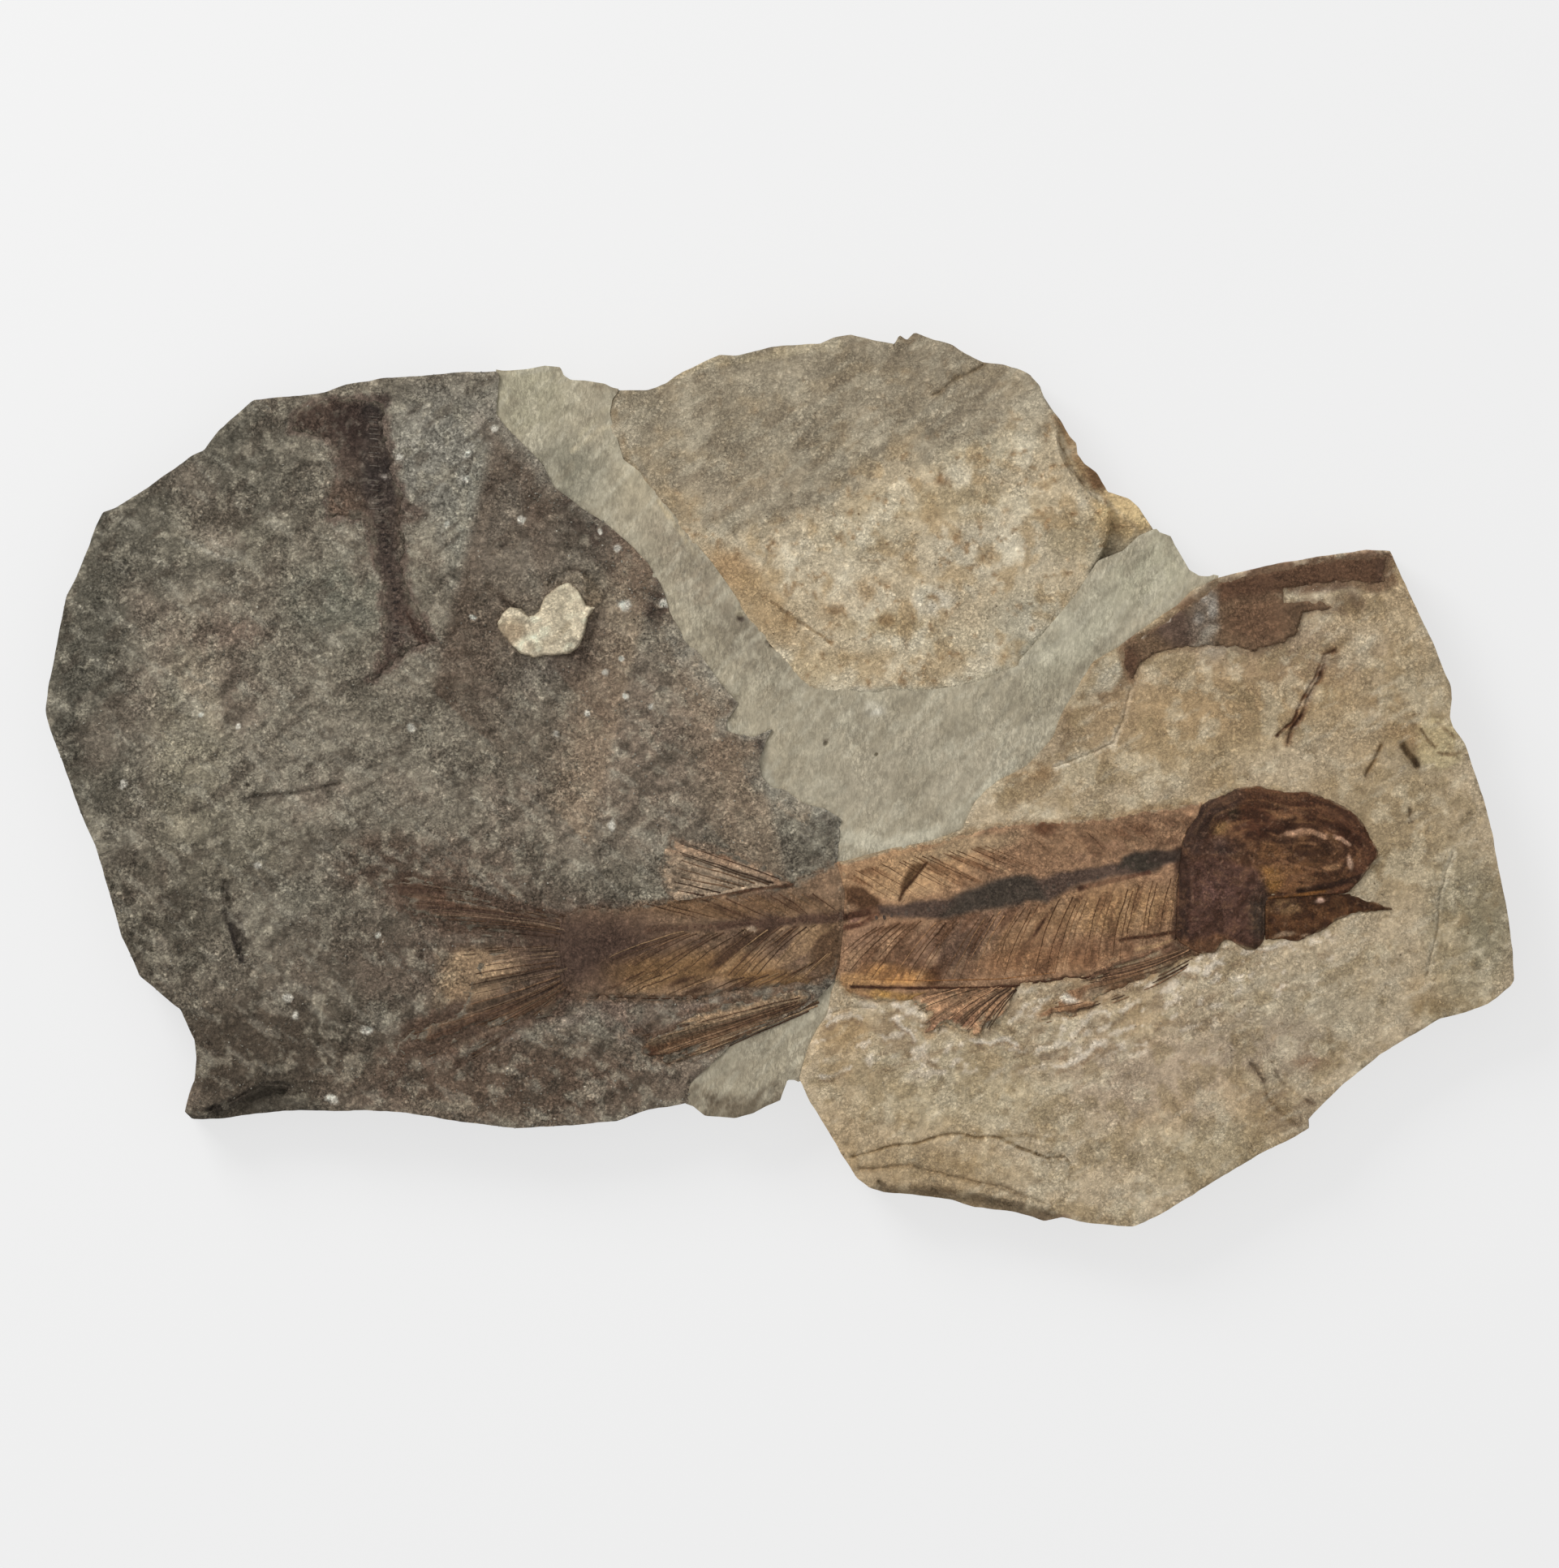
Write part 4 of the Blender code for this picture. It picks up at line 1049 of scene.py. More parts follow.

# %% Colour of the tan plate
# Painted shade: the dark rows along 1100,1468 to 1300,1500 and the oval at 1290,1500 paint the shade under
# the rim of the broken lower ledge.
TAN_WASHES = """
168 147 112 .9 oval 1500,880 190,60 14
150 130 108 .7 oval 1590,810 110,40 0
146 128 106 .5 oval 1330,900 60,50 30
172 151 120 .7 oval 1330,960 110,30 15
170 152 122 .8 oval 1760,880 50,90 0
158 138 107 .85 oval 1710,1030 100,90 0
146 135 110 .8 oval 1800,1150 50,110 0
128 120 98 .6 oval 1835,1130 34,60 0
176 162 137 .8 oval 1620,1240 120,60 10
172 152 130 .7 oval 1420,1330 120,60 0
160 142 122 .6 oval 1560,1290 90,40 0
182 166 136 .9 oval 1180,1350 130,50 0
168 152 122 .7 oval 1500,1420 100,40 15
190 176 148 .7 oval 1150,1300 80,24 0
162 134 96 .7 oval 1050,1275 36,26 0
150 128 98 .6 oval 1250,1500 140,28 -8
166 148 119 .7 oval 1180,1440 110,22 -5
120 104 82 .8 line 1100,1468 1150,1466 1200,1476 1250,1488 1300,1500 16
96 80 62 .9 line 1130,1470 1170,1468 1215,1480 8
84 64 54 .9 oval 1290,1500 26,8 0
118 104 88 .7 oval 1580,1360 44,40 -45
132 104 80 .6 oval 1615,1308 24,12 0
132 114 84 .8 oval 1762,1242 30,14 0
110 92 72 .8 patch 1320,858 1350,812 1392,792 1402,850 1385,900 1305,940 8
166 146 116 .9 patch 1306,936 1330,872 1378,862 1392,838 1400,900 1360,926 10
188 181 161 .95 patch 1349,816 1377,797 1384,825 1368,853 1340,857 1335,844 3 .7
112 84 62 .8 line 1380,798 1386,818 1394,838 8
100 76 60 .9 patch 1376,800 1440,752 1505,706 1600,682 1706,675 1722,686 1722,722 1694,731 1666,727
1634,731 1573,731 1510,745 1395,830 4
84 65 53 .6 oval 1708,704 16,24 0
98 79 62 .9 oval 1666,744 19,13 0
206 176 146 .9 line 1500,713 1560,693 1620,683 1700,677 6
170 160 146 .6 oval 1490,800 22,14 0
206 196 176 .8 line tan10 7 0
140 112 80 .8 oval 1275,955 28,16 0
150 128 98 .7 oval 1255,975 36,22 0
146 118 84 .6 oval 1740,905 50,24 -10
112 96 72 .7 oval 1742,930 20,16 0
190 172 140 .6 oval 1775,925 22,10 0
134 110 78 .7 oval 1700,865 26,10 0
166 138 104 .6 oval 1510,860 200,60 10
188 172 134 .8 patch 1746,886 1790,890 1806,920 1800,940 1760,945 1744,925 6 2.0
96 78 54 .8 line 1750,898 1758,910 1770,918 4 1.0
104 84 60 .8 line 1770,893 1786,902 1796,914 4 1.0
100 80 56 .8 line 1776,926 1792,932 1800,928 4 1.0
110 90 64 .7 line 1738,878 1756,888 1776,886 4 1.0
150 110 72 .6 line tan0 10 .4
70 46 32 .95 line tan0 5 0
84 56 38 .95 line tan1 4 0
60 46 30 .95 line tan2 7 0
100 78 52 .85 line tan3 5 0
96 80 60 .8 line tan4 5 0
118 98 70 .85 line tan5 4 0
124 104 78 .6 line tan6 6 0
96 82 68 .8 line tan7 5 0
104 88 72 .8 line tan8 5 0
90 72 54 .85 line tan9 5 0
196 186 164 .6 line tan12 8 0
136 118 88 .5 line 1560,905 1640,895 1710,892 1785,880 4
134 114 84 .6 line 1230,1401 1262,1396 1300,1404 4
148 129 98 .5 spread 7 5 3 .1 .4
206 193 166 .5 spread 6 5 4 .12 .4
168 138 98 .35 spread 30 4 5 .1 .6
128 108 80 .4 spread 2.4 4 6 .25 .7
212 200 176 .4 drawn 1.8 30 4 7 .25 .65"""
paint = Paint(tan_points, (186, 168, 140), 32)
paint.rows(TAN_WASHES)
cleared = ramp(depth_in(paint.bent, spots(CLEARED)), -4 * MM, 3 * MM)
paint.rows("""
138 116 90 .5 drawn 2.6 20 2.5 13 .12 .4
220 206 186 .7 drawn 2.0 28 2 9 .2 .42""", cleared)
stained(paint, ["fish_trunk_front", "fish_pelvic_fin", "fish_pectoral_fin"], (152, 122, 88), 0.55, 1.3 * MM)
stained(paint, ["bone_patch"], (120, 98, 76), 0.5, 1.6 * MM)
for pixels in map(pairs, CHISEL_MARKS):
    paint.wash((218, 205, 186), 0.85 * paint.line(pixels, 5, 2.0))
    # Painted shadow: a darker stroke a few pixels below and right of each pale mark, the shade its ridge
    # throws.
    paint.wash((128, 104, 80), 0.5 * paint.line([(x + 2, y + 6) for x, y in pixels], 4, 2.0))
for x, y, size in [(1120, 1290, 8), (1150, 1300, 10), (1215, 1284, 8), (1245, 1262, 8)]:
    paint.wash((132, 112, 86), 0.7 * paint.oval((x, y + size), (size, size * 0.5), -30))
paint.shade(0.07 + 0.08 * rough(paint.points, 1.9 * MM, 2, 45))
paint.beds((150, 130, 102), 0.9, 0.96)
tint(tan_plate, paint.light())
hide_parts("tan_limestone_plate")
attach(tan_plate, "root")

# %% [markdown]
# ## The upper plate
#
# The plate at the top is a paler piece with no fossil on it. Its upper half is grey-brown and its
# lower half cream, with ochre stains of iron and a speckle of small brown grains.

# %% Shape of the upper plate
UPPER_PITCH = 0.85 * MM
UPPER_CRACKS = wandering_cracks(
    "upper",
    "950,742 972,757 1000,776 1022,792",
    "1150,487 1180,468 1215,447",
    "1296,512 1306,548 1326,584 1345,618",
    "802,606 822,632 842,662 856,680")
upper_base = solid_top("mottled_upper_plate")


def upper_top(points):
    height = np.maximum(upper_base(points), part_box("mottled_upper_plate")[1].z - 3.2 * MM)
    height += (0.35 * rough(points, 30 * MM, 4, 25) + 0.16 * rough(points, 4 * MM, 3, 26)) * MM
    height += 0.22 * MM * (creases(points, 9 * MM, 27) + 0.7 * creases(points, 4 * MM, 28))
    for pixels in UPPER_CRACKS:
        height += crack(points, pixels, 2.5, 0.3 * MM)
    return height - 0.2 * MM


outline, free = rim_of("mottled_upper_plate")
upper_plate, upper_points = slab("upper_plate_stone", outline, free, upper_top,
                                 FINISHES["mottled_limestone"], UPPER_PITCH, 23, closer_points(UPPER_CRACKS))
print("upper plate:", len(upper_plate.data.polygons), "faces")

# %% Colour of the upper plate
PATHS["grey_half"] = (
    "720,470 760,560 800,600 850,640 900,655 960,640 1010,605 1060,592 1110,570 1170,556 1200,528 "
    "1250,520 1300,506 1290,360 780,360")
# Painted light: the pale oval at 1392,636 paints the sunken ledge far paler than its own ochre, so that the
# shade it lies in hardly shows.
UPPER_WASHES = """
166 152 128 .8 patch grey_half 60 5.0
151 139 118 .95 patch grey_half 12 5.0
140 128 108 .6 oval 1080,450 140,40 0
163 152 131 .6 oval 970,470 50,26 0
142 129 108 .6 oval 1120,500 150,26 10
160 146 124 .7 oval 900,600 90,34 0
158 138 108 .7 oval 840,625 26,22 0
192 178 152 .8 oval 1010,690 90,50 0
190 178 152 .9 oval 1210,560 70,26 15
196 184 160 .9 oval 1220,680 90,40 0
190 176 148 .8 oval 1060,660 60,30 0
174 142 104 .8 oval 905,705 40,26 -40
172 146 110 .8 oval 945,750 60,30 -45
172 144 108 .7 oval 1052,738 44,22 20
168 148 114 .7 oval 1090,770 60,16 0
166 148 116 .7 oval 1170,620 120,22 0
158 142 112 .6 oval 1320,660 40,30 0
196 182 154 .8 oval 1150,790 110,16 0
178 156 122 .7 oval 1080,820 150,20 0
188 170 138 .6 oval 1000,830 60,22 0
206 198 180 .7 oval 1150,740 26,18 0
204 196 178 .6 oval 1062,855 26,8 0
172 165 145 .8 oval 1280,790 60,70 40
166 160 140 .7 oval 1240,850 90,24 0
146 118 86 .7 oval 1030,748 12,8 0
140 112 78 .7 oval 1090,765 12,9 0
132 108 80 .7 oval 1158,592 10,9 0
144 118 88 .6 oval 1240,640 12,14 0
150 128 98 .6 oval 980,680 8,6 0
164 142 108 .9 patch 1298,512 1326,584 1345,622 1360,660 1430,660 1420,600 6
104 76 52 .95 patch 1332,568 1352,574 1366,606 1340,600 4
158 128 94 .9 patch 1292,512 1312,520 1334,566 1338,600 1312,560 5
232 206 156 .95 oval 1392,636 44,34 0
176 168 144 .7 oval 1370,690 30,34 30
196 180 150 .8 line 1302,530 1316,566 1342,606 1368,622 7
186 172 146 .8 line 1342,606 1368,622 1400,652 5
124 102 74 .7 line upper0 3 0
110 94 72 .8 line upper1 5 0
106 84 60 .8 line upper3 5 0
176 162 134 .8 line 812,470 850,452 900,444 960,436 1030,424 12
104 88 68 .8 line 1108,412 1120,424 1128,414 6
140 120 92 .6 line 752,492 762,530 776,570 800,604 8"""
paint = Paint(upper_points, (192, 175, 146), 33)
paint.rows(UPPER_WASHES)
cream = 1 - 0.7 * paint.patch(PATHS["grey_half"], 30, 5.0)
paint.rows("""
166 140 103 .55 spread 6 5 3 .1 .5
218 208 184 .6 spread 9 5 4 .05 .5
128 98 66 .6 spread 2.6 4 5 .3 .75""", cream)
paint.rows("""
124 111 92 .7 drawn 4 35 3 6 .1 .4
182 172 150 .7 drawn 2.4 35 4 7 .14 .4""", 1 - cream)
paint.shade(0.09 + 0.08 * rough(paint.points, 1.9 * MM, 2, 46))
smear = distance_to(paint.points, edges_of["grey_cement_joint"], closed=True)
smear = 1 - ramp(smear + 2.5 * MM * rough(paint.points, 6 * MM, 4, 98), 0, 3 * MM)
paint.wash((170, 162, 140), 0.85 * smear * ramp(pixels_of(paint.points)[:, 0], 960, 1100))
paint.beds((146, 120, 90), 0.7, 0.8)
tint(upper_plate, paint.light())
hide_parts("mottled_upper_plate")
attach(upper_plate, "root")

# %% [markdown]
# ## The cement
#
# The filler was pressed in wet and struck off with a stiff brush, so it is smoother than the stone
# and carries slanting brush strokes. It sits a hair below the plates and runs a little way under
# their ragged edges, as a real filler does.

# %% Shape of the cement
CEMENT_RISE = 0.7 * MM
STROKE_ANGLE = 47
CEMENT_PITS = pairs("913,760,6 953,795,6 1018,917,4 722,462,4 1080,930,3")


def cement_top(points):
    height = np.full(len(points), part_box("grey_cement_joint")[1].z + CEMENT_RISE)
    height += 0.25 * MM * rough(points, 30 * MM, 3, 35)
    strokes = 0.16 * MM * streaks(points, 2.5 * MM, STROKE_ANGLE, 5, 36)
    height += strokes + 0.12 * MM * creases(points, 7 * MM, 37)
    for x, y, radius in CEMENT_PITS:
        height += dip(points, (x, y), radius, 0.9 * MM)
    return height


def fill(name, node, seed):
    """One fill of cement, a little larger than its solid where it meets the stone."""
    outline, free = rim_of(node, 1.0 * MM)
    piece, points = slab(name, outline, free, cement_top, FINISHES["cement"], 0.9 * MM, seed,
                         closer_points((), CEMENT_PITS), ragged=0.3 * MM, broken=0.7 * MM)
    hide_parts(node)
    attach(piece, "root")
    print(name, len(piece.data.polygons), "faces")
    return piece, points


cement, cement_points = fill("cement_joint", "grey_cement_joint", 24)
lower_cement, lower_cement_points = fill("cement_wedge", "lower_cement_fill", 25)

# %% Colour of the cement
# Painted shade: the dark row 735,476 770,484 790,494 is the shade along the cement's upper edge.
# Painted shade: the three darkest ovals, at 913,762, 953,796 and 1018,917, sit in the cement's pits and
# paint the shade inside them.
CEMENT_WASHES = """
168 161 137 .9 oval 650,490 60,50 0
132 127 110 .9 oval 690,590 60,60 -50
176 168 146 .7 patch 742,490 756,500 776,560 800,605 780,610 752,560 5
190 178 150 .8 line 706,556 732,536 750,526 6
190 180 152 .7 line 715,535 738,515 748,505 5
180 168 142 .8 oval 790,600 40,34 -50
150 138 118 .9 oval 850,700 80,30 -52
132 122 104 .9 oval 915,790 60,26 -50
190 174 142 .8 line 812,620 836,652 858,684 5
148 138 118 .8 oval 960,830 50,30 -30
170 160 139 .9 oval 1120,950 150,60 10
162 153 133 .6 oval 1040,890 60,30 0
188 181 160 .9 line 1040,1030 1090,1042 1150,1028 1190,1002 16
188 181 160 .9 line 1181,1020 1200,989 1219,968 1250,938 12
178 172 150 .9 oval 1330,780 90,40 45
178 172 148 .9 oval 1420,700 60,50 40
190 182 158 .8 oval 1400,655 24,12 30
160 152 130 .6 oval 1290,850 60,30 30
196 188 164 .7 line 1222,905 1232,912 1240,930 6
200 190 166 .7 line 1300,900 1318,868 1336,830 6
186 180 160 .8 line 1380,800 1420,770 1468,738 1500,722 7
206 200 184 .9 oval 1075,873 16,11 0
176 170 150 .7 line 640,460 680,452 9
112 100 82 .9 line 735,476 770,484 790,494 8
170 164 146 .8 line 880,880 900,905 935,930 950,970 14
188 176 148 .7 oval 913,752 8,6 0
60 50 42 .95 oval 913,762 5,5 0
70 58 46 .95 oval 953,796 6,4 0
96 86 72 .9 oval 1018,917 4,4 0"""
# Painted shade: the two dark rows from 855,1352 and 870,1372 paint the shade on the wedge's rounded lower
# lip.
LOWER_WASHES = """
150 140 120 .9 oval 900,1300 60,40 30
168 160 140 .7 line 860,1330 900,1310 930,1290 12
96 84 68 .95 line 855,1352 880,1366 920,1366 955,1352 972,1332 28
92 80 64 .8 line 870,1372 920,1376 960,1356 10
158 150 130 .7 oval 990,1250 40,20 30"""


def paint_cement(piece, points, washes, seed):
    """Brush strokes over the washes, with a few grains that the brush dragged."""
    paint = Paint(points, (167, 157, 135), seed)
    paint.rows(washes)
    paint.wash((138, 130, 111), 0.4 * paint.drawn(1.8, STROKE_ANGLE, 4, 3, 0.1, 0.45))
    paint.wash((194, 187, 166), 0.42 * paint.drawn(1.6, STROKE_ANGLE, 4, 4, 0.1, 0.45))
    paint.rows("142 132 112 .45 spread 8 5 5 .1 .4  190 182 160 .35 spread 6 5 6 .15 .4")
    paint.shade(0.04 * rough(paint.points, 2.5 * MM, 3, 48))
    paint.beds((160, 151, 130), 0.8, 0.88, 0.6, 0.12)
    tint(piece, paint.light())


paint_cement(cement, cement_points, CEMENT_WASHES, 34)
paint_cement(lower_cement, lower_cement_points, LOWER_WASHES, 35)

# %% [markdown]
# ## The fossil films
#
# What is left of the fish is a thin brown film of bone, squeezed flat in the stone. Each part is a
# fine net over its outline, thickest inside and feathered out at its edge, where it dips below the
# stone, so its border is ragged and not cut.

# %% A film over an outline
FILM_PITCH = 0.42 * MM
FILM_SINK = 0.45 * MM
FILM_BASE = 1.2 * MM
FRAY = 3.0 * MM
FISH = [name for name in FILMS if name.startswith("fish")]
film_tops = {}


def joined(points, node):
    """1 where a part of the fish meets another part, and 0 where it ends in bare stone."""
    nearest = np.full(len(points), 1e9)
    for other in FISH:
        if other != node and node in FISH:
            nearest = np.minimum(nearest, -depth_in(points, film_outlines[other]))
    return 1 - ramp(nearest, 0.8 * MM, 1.5 * MM)


def frayed(points, fans, seed):
    """How far an edge moves in or out at each point, because its rays end unevenly."""
    moved = np.zeros(len(points))
    for fan in fans:
        moved += FRAY * fan.fibres(points, seed + 3, 0.6) * ramp(fan.place(points)[1], 0.1, 0.7)
    return moved


def film(name, node, rise, material, seed, pitch=FILM_PITCH, grow=0.6 * MM, feather=1.3 * MM,
         torn=0.6 * MM, fans=()):
    """A closed film over a fossil's outline. rise gives its height over the plate at any points, torn
    how far its edge dips in and out of the stone, and fans the rays that fray it."""
    rim = evenly(film_outlines[node], pitch, closed=True)
    rim = rim - inward(rim) * grow
    inner, triangles = net(rim, pitch, seed)
    flat = np.vstack((rim, inner))

    def top(points):
        depth = depth_in(points, rim)
        ragged = depth + torn * rough(points, 2.5 * MM, 4, seed) + frayed(points, fans, seed)
        beside = joined(points, node)
        cover = np.maximum(ramp(ragged, 0, feather), beside * ramp(depth, 0, 0.4 * MM))
        level = rise(points, depth) * (1 - beside) + (0.3 + 0.02 * (seed % 7)) * MM * beside
        return PLATE_TOP - FILM_SINK + cover * (FILM_SINK + level)

    film_tops[node] = top
    count = len(rim)
    base = np.column_stack((rim, np.full(count, PLATE_TOP - FILM_BASE)))
    points = np.vstack((np.column_stack((flat, top(flat))), base))
    faces = [tuple(face) for face in triangles]
    under = len(flat)
    for i in range(count):
        j = (i + 1) % count
        faces.append((i, under + i, under + j, j))
    faces.append(tuple(under + i for i in reversed(range(count))))
    piece = mesh_object(name, points, faces, material)
    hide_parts(node)
    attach(piece, "root")
    print(name, len(piece.data.polygons), "faces")
    return piece, points, depth_in(points[:, :2], rim)


# %% Wires for the rays
def wires_of(fan, seed, radius, colours, low=0.0, high=1.0, steps=12, loss=0.15, waver=1.0):
    """One wire for each ray: its points in pixels, its radii in metres and its colour. Some rays are
    lost or broken short, as in the stone."""
    draw = np.random.default_rng(seed)
    wires = []
    for k in range(fan.count):
        share = (k + 0.5 + draw.uniform(-0.18, 0.18)) / fan.count
        begin, finish = low + draw.uniform(0, 0.12), high - draw.uniform(0, 0.18)
        colour = np.array(colours[draw.integers(len(colours))]) * draw.uniform(0.88, 1.1)
        wobble = np.cumsum(draw.normal(0, waver * 0.4, (steps, 2)), axis=0)
        kept = draw.random() > loss
        if kept:
            points = fan.curve(share, steps, begin, finish) + wobble
            taper = np.linspace(1.0, 0.45, steps) * draw.uniform(0.8, 1.2)
            wires.append((points, radius * taper, colour))
    return wires


def line_wire(pixels, radius, colour, pitch=6):
    """One wire along a line of the photograph, thinner at both ends."""
    points = pixels_of(along(spots(pixels), pitch * PIXEL)[0])
    taper = 0.35 + 0.65 * np.sin(np.pi * np.linspace(0.05, 0.95, len(points)))
    return points, radius * taper, np.array(colour, float)


# %% [markdown]
# ## A Geometry Nodes tree for slim bones
#
# There are hundreds of rays, and each is the same thing: a thin, tapered rod half sunk in the film.
# So the rays are laid out as bare wires, with a radius and a colour on every point, and one tree
# gives them all their section. Changing the number of sides or the thickness changes every bone.

# %% The tree for slim bones
SOCKETS = {int: "Int", float: "Float", tuple: "Color", type(None): "Material"}


def tree_with(name, values):
    """A Geometry Nodes tree with these named inputs. Gives the tree, its inputs and its adder."""
    tree = bpy.data.node_groups.new(name, "GeometryNodeTree")
    tree.interface.new_socket("Geometry", in_out="INPUT", socket_type="NodeSocketGeometry")
    for label, value in values.items():
        kind = "NodeSocket" + SOCKETS[type(value)]
        socket = tree.interface.new_socket(label, in_out="INPUT", socket_type=kind)
        if value is not None:
            socket.default_value = value
    tree.interface.new_socket("Geometry", in_out="OUTPUT", socket_type="NodeSocketGeometry")
    return tree, tree.nodes.new("NodeGroupInput").outputs, adder(tree)


def finish_tree(tree, given, add, geometry):
    """Realizes what is left of the instances and gives them their material."""
    real = add("RealizeInstances", {"Geometry": geometry})
    painted = add("SetMaterial", {"Geometry": real, "Material": given["Material"]})
    tree.links.new(painted, tree.nodes.new("NodeGroupOutput").inputs[0])
    print(tree.name, len(tree.nodes), "nodes")


bones_tree, given, add = tree_with("slim_bones", {"Sides": 6, "Thickness": 1.0, "Material": None})
radius = add("InputNamedAttribute", {"Name": "radius"}, data_type="FLOAT")
scaled = add("ShaderNodeMath", {0: radius, 1: given["Thickness"]}, operation="MULTIPLY")
wires = add("MeshToCurve", {"Mesh": given["Geometry"]})
ring = add("CurvePrimitiveCircle", {"Resolution": given["Sides"], "Radius": 1.0})
rods = add("CurveToMesh", {"Curve": wires, "Profile Curve": ring, "Scale": scaled, "Fill Caps": True})
finish_tree(bones_tree, given, add, add("SetShadeSmooth", {"Geometry": rods}))

# %% From a tree to a plain mesh
def grown(name, source, tree, values):
    """Runs a tree on a source mesh and keeps the result as a plain mesh object."""
    carrier = bpy.data.objects.new(name, source)
    bpy.context.scene.collection.objects.link(carrier)
    modifier = carrier.modifiers.new(tree.name, "NODES")
    modifier.node_group = tree
    for item in tree.interface.items_tree:
        if item.in_out == "INPUT" and item.name in values:
            modifier[item.identifier] = values[item.name]
    view = carrier.evaluated_get(bpy.context.evaluated_depsgraph_get())
    mesh = bpy.data.meshes.new_from_object(view)
    mesh.name = name
    carrier.modifiers.clear()
    carrier.data = mesh
    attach(carrier, "root")
    print(name, len(mesh.polygons), "faces")
    return carrier


def bones(name, wires, height, slot, sink=0.35):
    """Slim bones along wires. height gives the film's top, and sink the share of a radius below it."""
    points, edges, radii, colours = [], [], [], []
    for pixels, radius, colour in wires:
        first = sum(len(part) for part in points)
        edges += [(first + i, first + i + 1) for i in range(len(pixels) - 1)]
        places = spots(pixels)
        points.append(np.column_stack((places, height(places) - sink * radius)))
        radii.append(radius)
        colours.append(np.tile(colour, (len(pixels), 1)))
    source = bpy.data.meshes.new(name + "_wires")
    source.from_pydata(np.vstack(points).tolist(), edges, [])
    source.attributes.new("radius", "FLOAT", "POINT").data.foreach_set("value", np.concatenate(radii))
    paint = Paint(np.vstack(points), (0, 0, 0), 12)
    paint.colour = np.vstack(colours)
    paint.shade(0.14 * rough(paint.points, 2.0 * MM, 3, 49))
    store = source.color_attributes.new("Tint", "FLOAT_COLOR", "POINT")
    store.data.foreach_set("color", paint.light().astype(np.float32).ravel())
    piece = grown(name, source, bones_tree, {"Material": FINISHES[slot]})
    return piece


# %% [markdown]
# ## A tree for beads on a line
#
# A backbone is a row of short barrels. A second tree resamples a line at an even spacing, sets a small
# barrel on each point, turned along the line, and varies their size and colour from a fixed seed.

# %% The tree for vertebrae
def tinted(given, add, instances):
    """Gives each instance a colour of its own, between the tree's dark one and its pale one."""
    share = add("FunctionNodeRandomValue", {"Seed": given["Seed"]}, 1, data_type="FLOAT")
    mixed = add("ShaderNodeMix", {0: share, 6: given["Dark colour"], 7: given["Pale colour"]}, 2,
                data_type="RGBA")
    return add("StoreNamedAttribute", {"Geometry": instances, "Name": "Tint", "Value": mixed},
               data_type="FLOAT_COLOR", domain="INSTANCE")


beads_tree, given, add = tree_with("beads_on_a_line", {
    "Spacing": 0.0023, "Bead length": 0.001, "Bead width": 0.0014, "Bead height": 0.0005,
    "Dark colour": (0.05, 0.05, 0.05, 1), "Pale colour": (0.1, 0.1, 0.1, 1), "Seed": 3, "Material": None})
line = add("MeshToCurve", {"Mesh": given["Geometry"]})
spaced = add("ResampleCurve", {"Curve": line, "Length": given["Spacing"]}, mode="LENGTH")
bead = add("MeshUVSphere", {"Segments": 8, "Rings": 6, "Radius": 1.0})
turned = add("FunctionNodeAlignRotationToVector", {"Vector": add("InputTangent", {})}, axis="X")
shape = add("ShaderNodeCombineXYZ", {
    0: given["Bead length"], 1: given["Bead width"], 2: given["Bead height"]})
vary = add("FunctionNodeRandomValue", {2: 0.75, 3: 1.15, "Seed": given["Seed"]}, 1, data_type="FLOAT")
sized = add("ShaderNodeVectorMath", {0: shape, "Scale": vary}, operation="SCALE")
row = add("InstanceOnPoints", {"Points": spaced, "Instance": bead, "Rotation": turned, "Scale": sized})
finish_tree(beads_tree, given, add, add("SetShadeSmooth", {"Geometry": tinted(given, add, row)}))


def albedo(colour):
    """One screen colour as a linear one."""
    paint = Paint(np.zeros((1, 3)), colour, 0)
    return tuple(paint.light()[0].tolist())


def vertebrae(name, pixels, height, slot, dark, pale, seed, spacing=2.3 * MM, size=(1.0, 2.2, 0.5)):
    """A row of vertebrae along a line, with their half length, half width and half height in mm."""
    places = along(spots(pixels), 2 * MM)[0]
    source = bpy.data.meshes.new(name + "_line")
    heights = height(places) - 0.1 * MM
    edges = [(i, i + 1) for i in range(len(places) - 1)]
    source.from_pydata(np.column_stack((places, heights)).tolist(), edges, [])
    piece = grown(name, source, beads_tree, {
        "Spacing": spacing, "Bead length": size[0] * MM, "Bead width": size[1] * MM,
        "Bead height": size[2] * MM,
        "Dark colour": albedo(dark), "Pale colour": albedo(pale), "Seed": seed, "Material": FINISHES[slot]})


# %% [markdown]
# ## The trunk
#
# The fish broke in two with its stone: the front half of the trunk is on the tan plate and the rear
# half on the dark one. The backbone is a dark band of vertebrae. Ribs hang from it to a sharp dark
# belly line, near upright behind the head and swept back further along.

# %% Painting a film
TAN_STONE = (168, 150, 122)
DARK_STONE = (122, 112, 97)


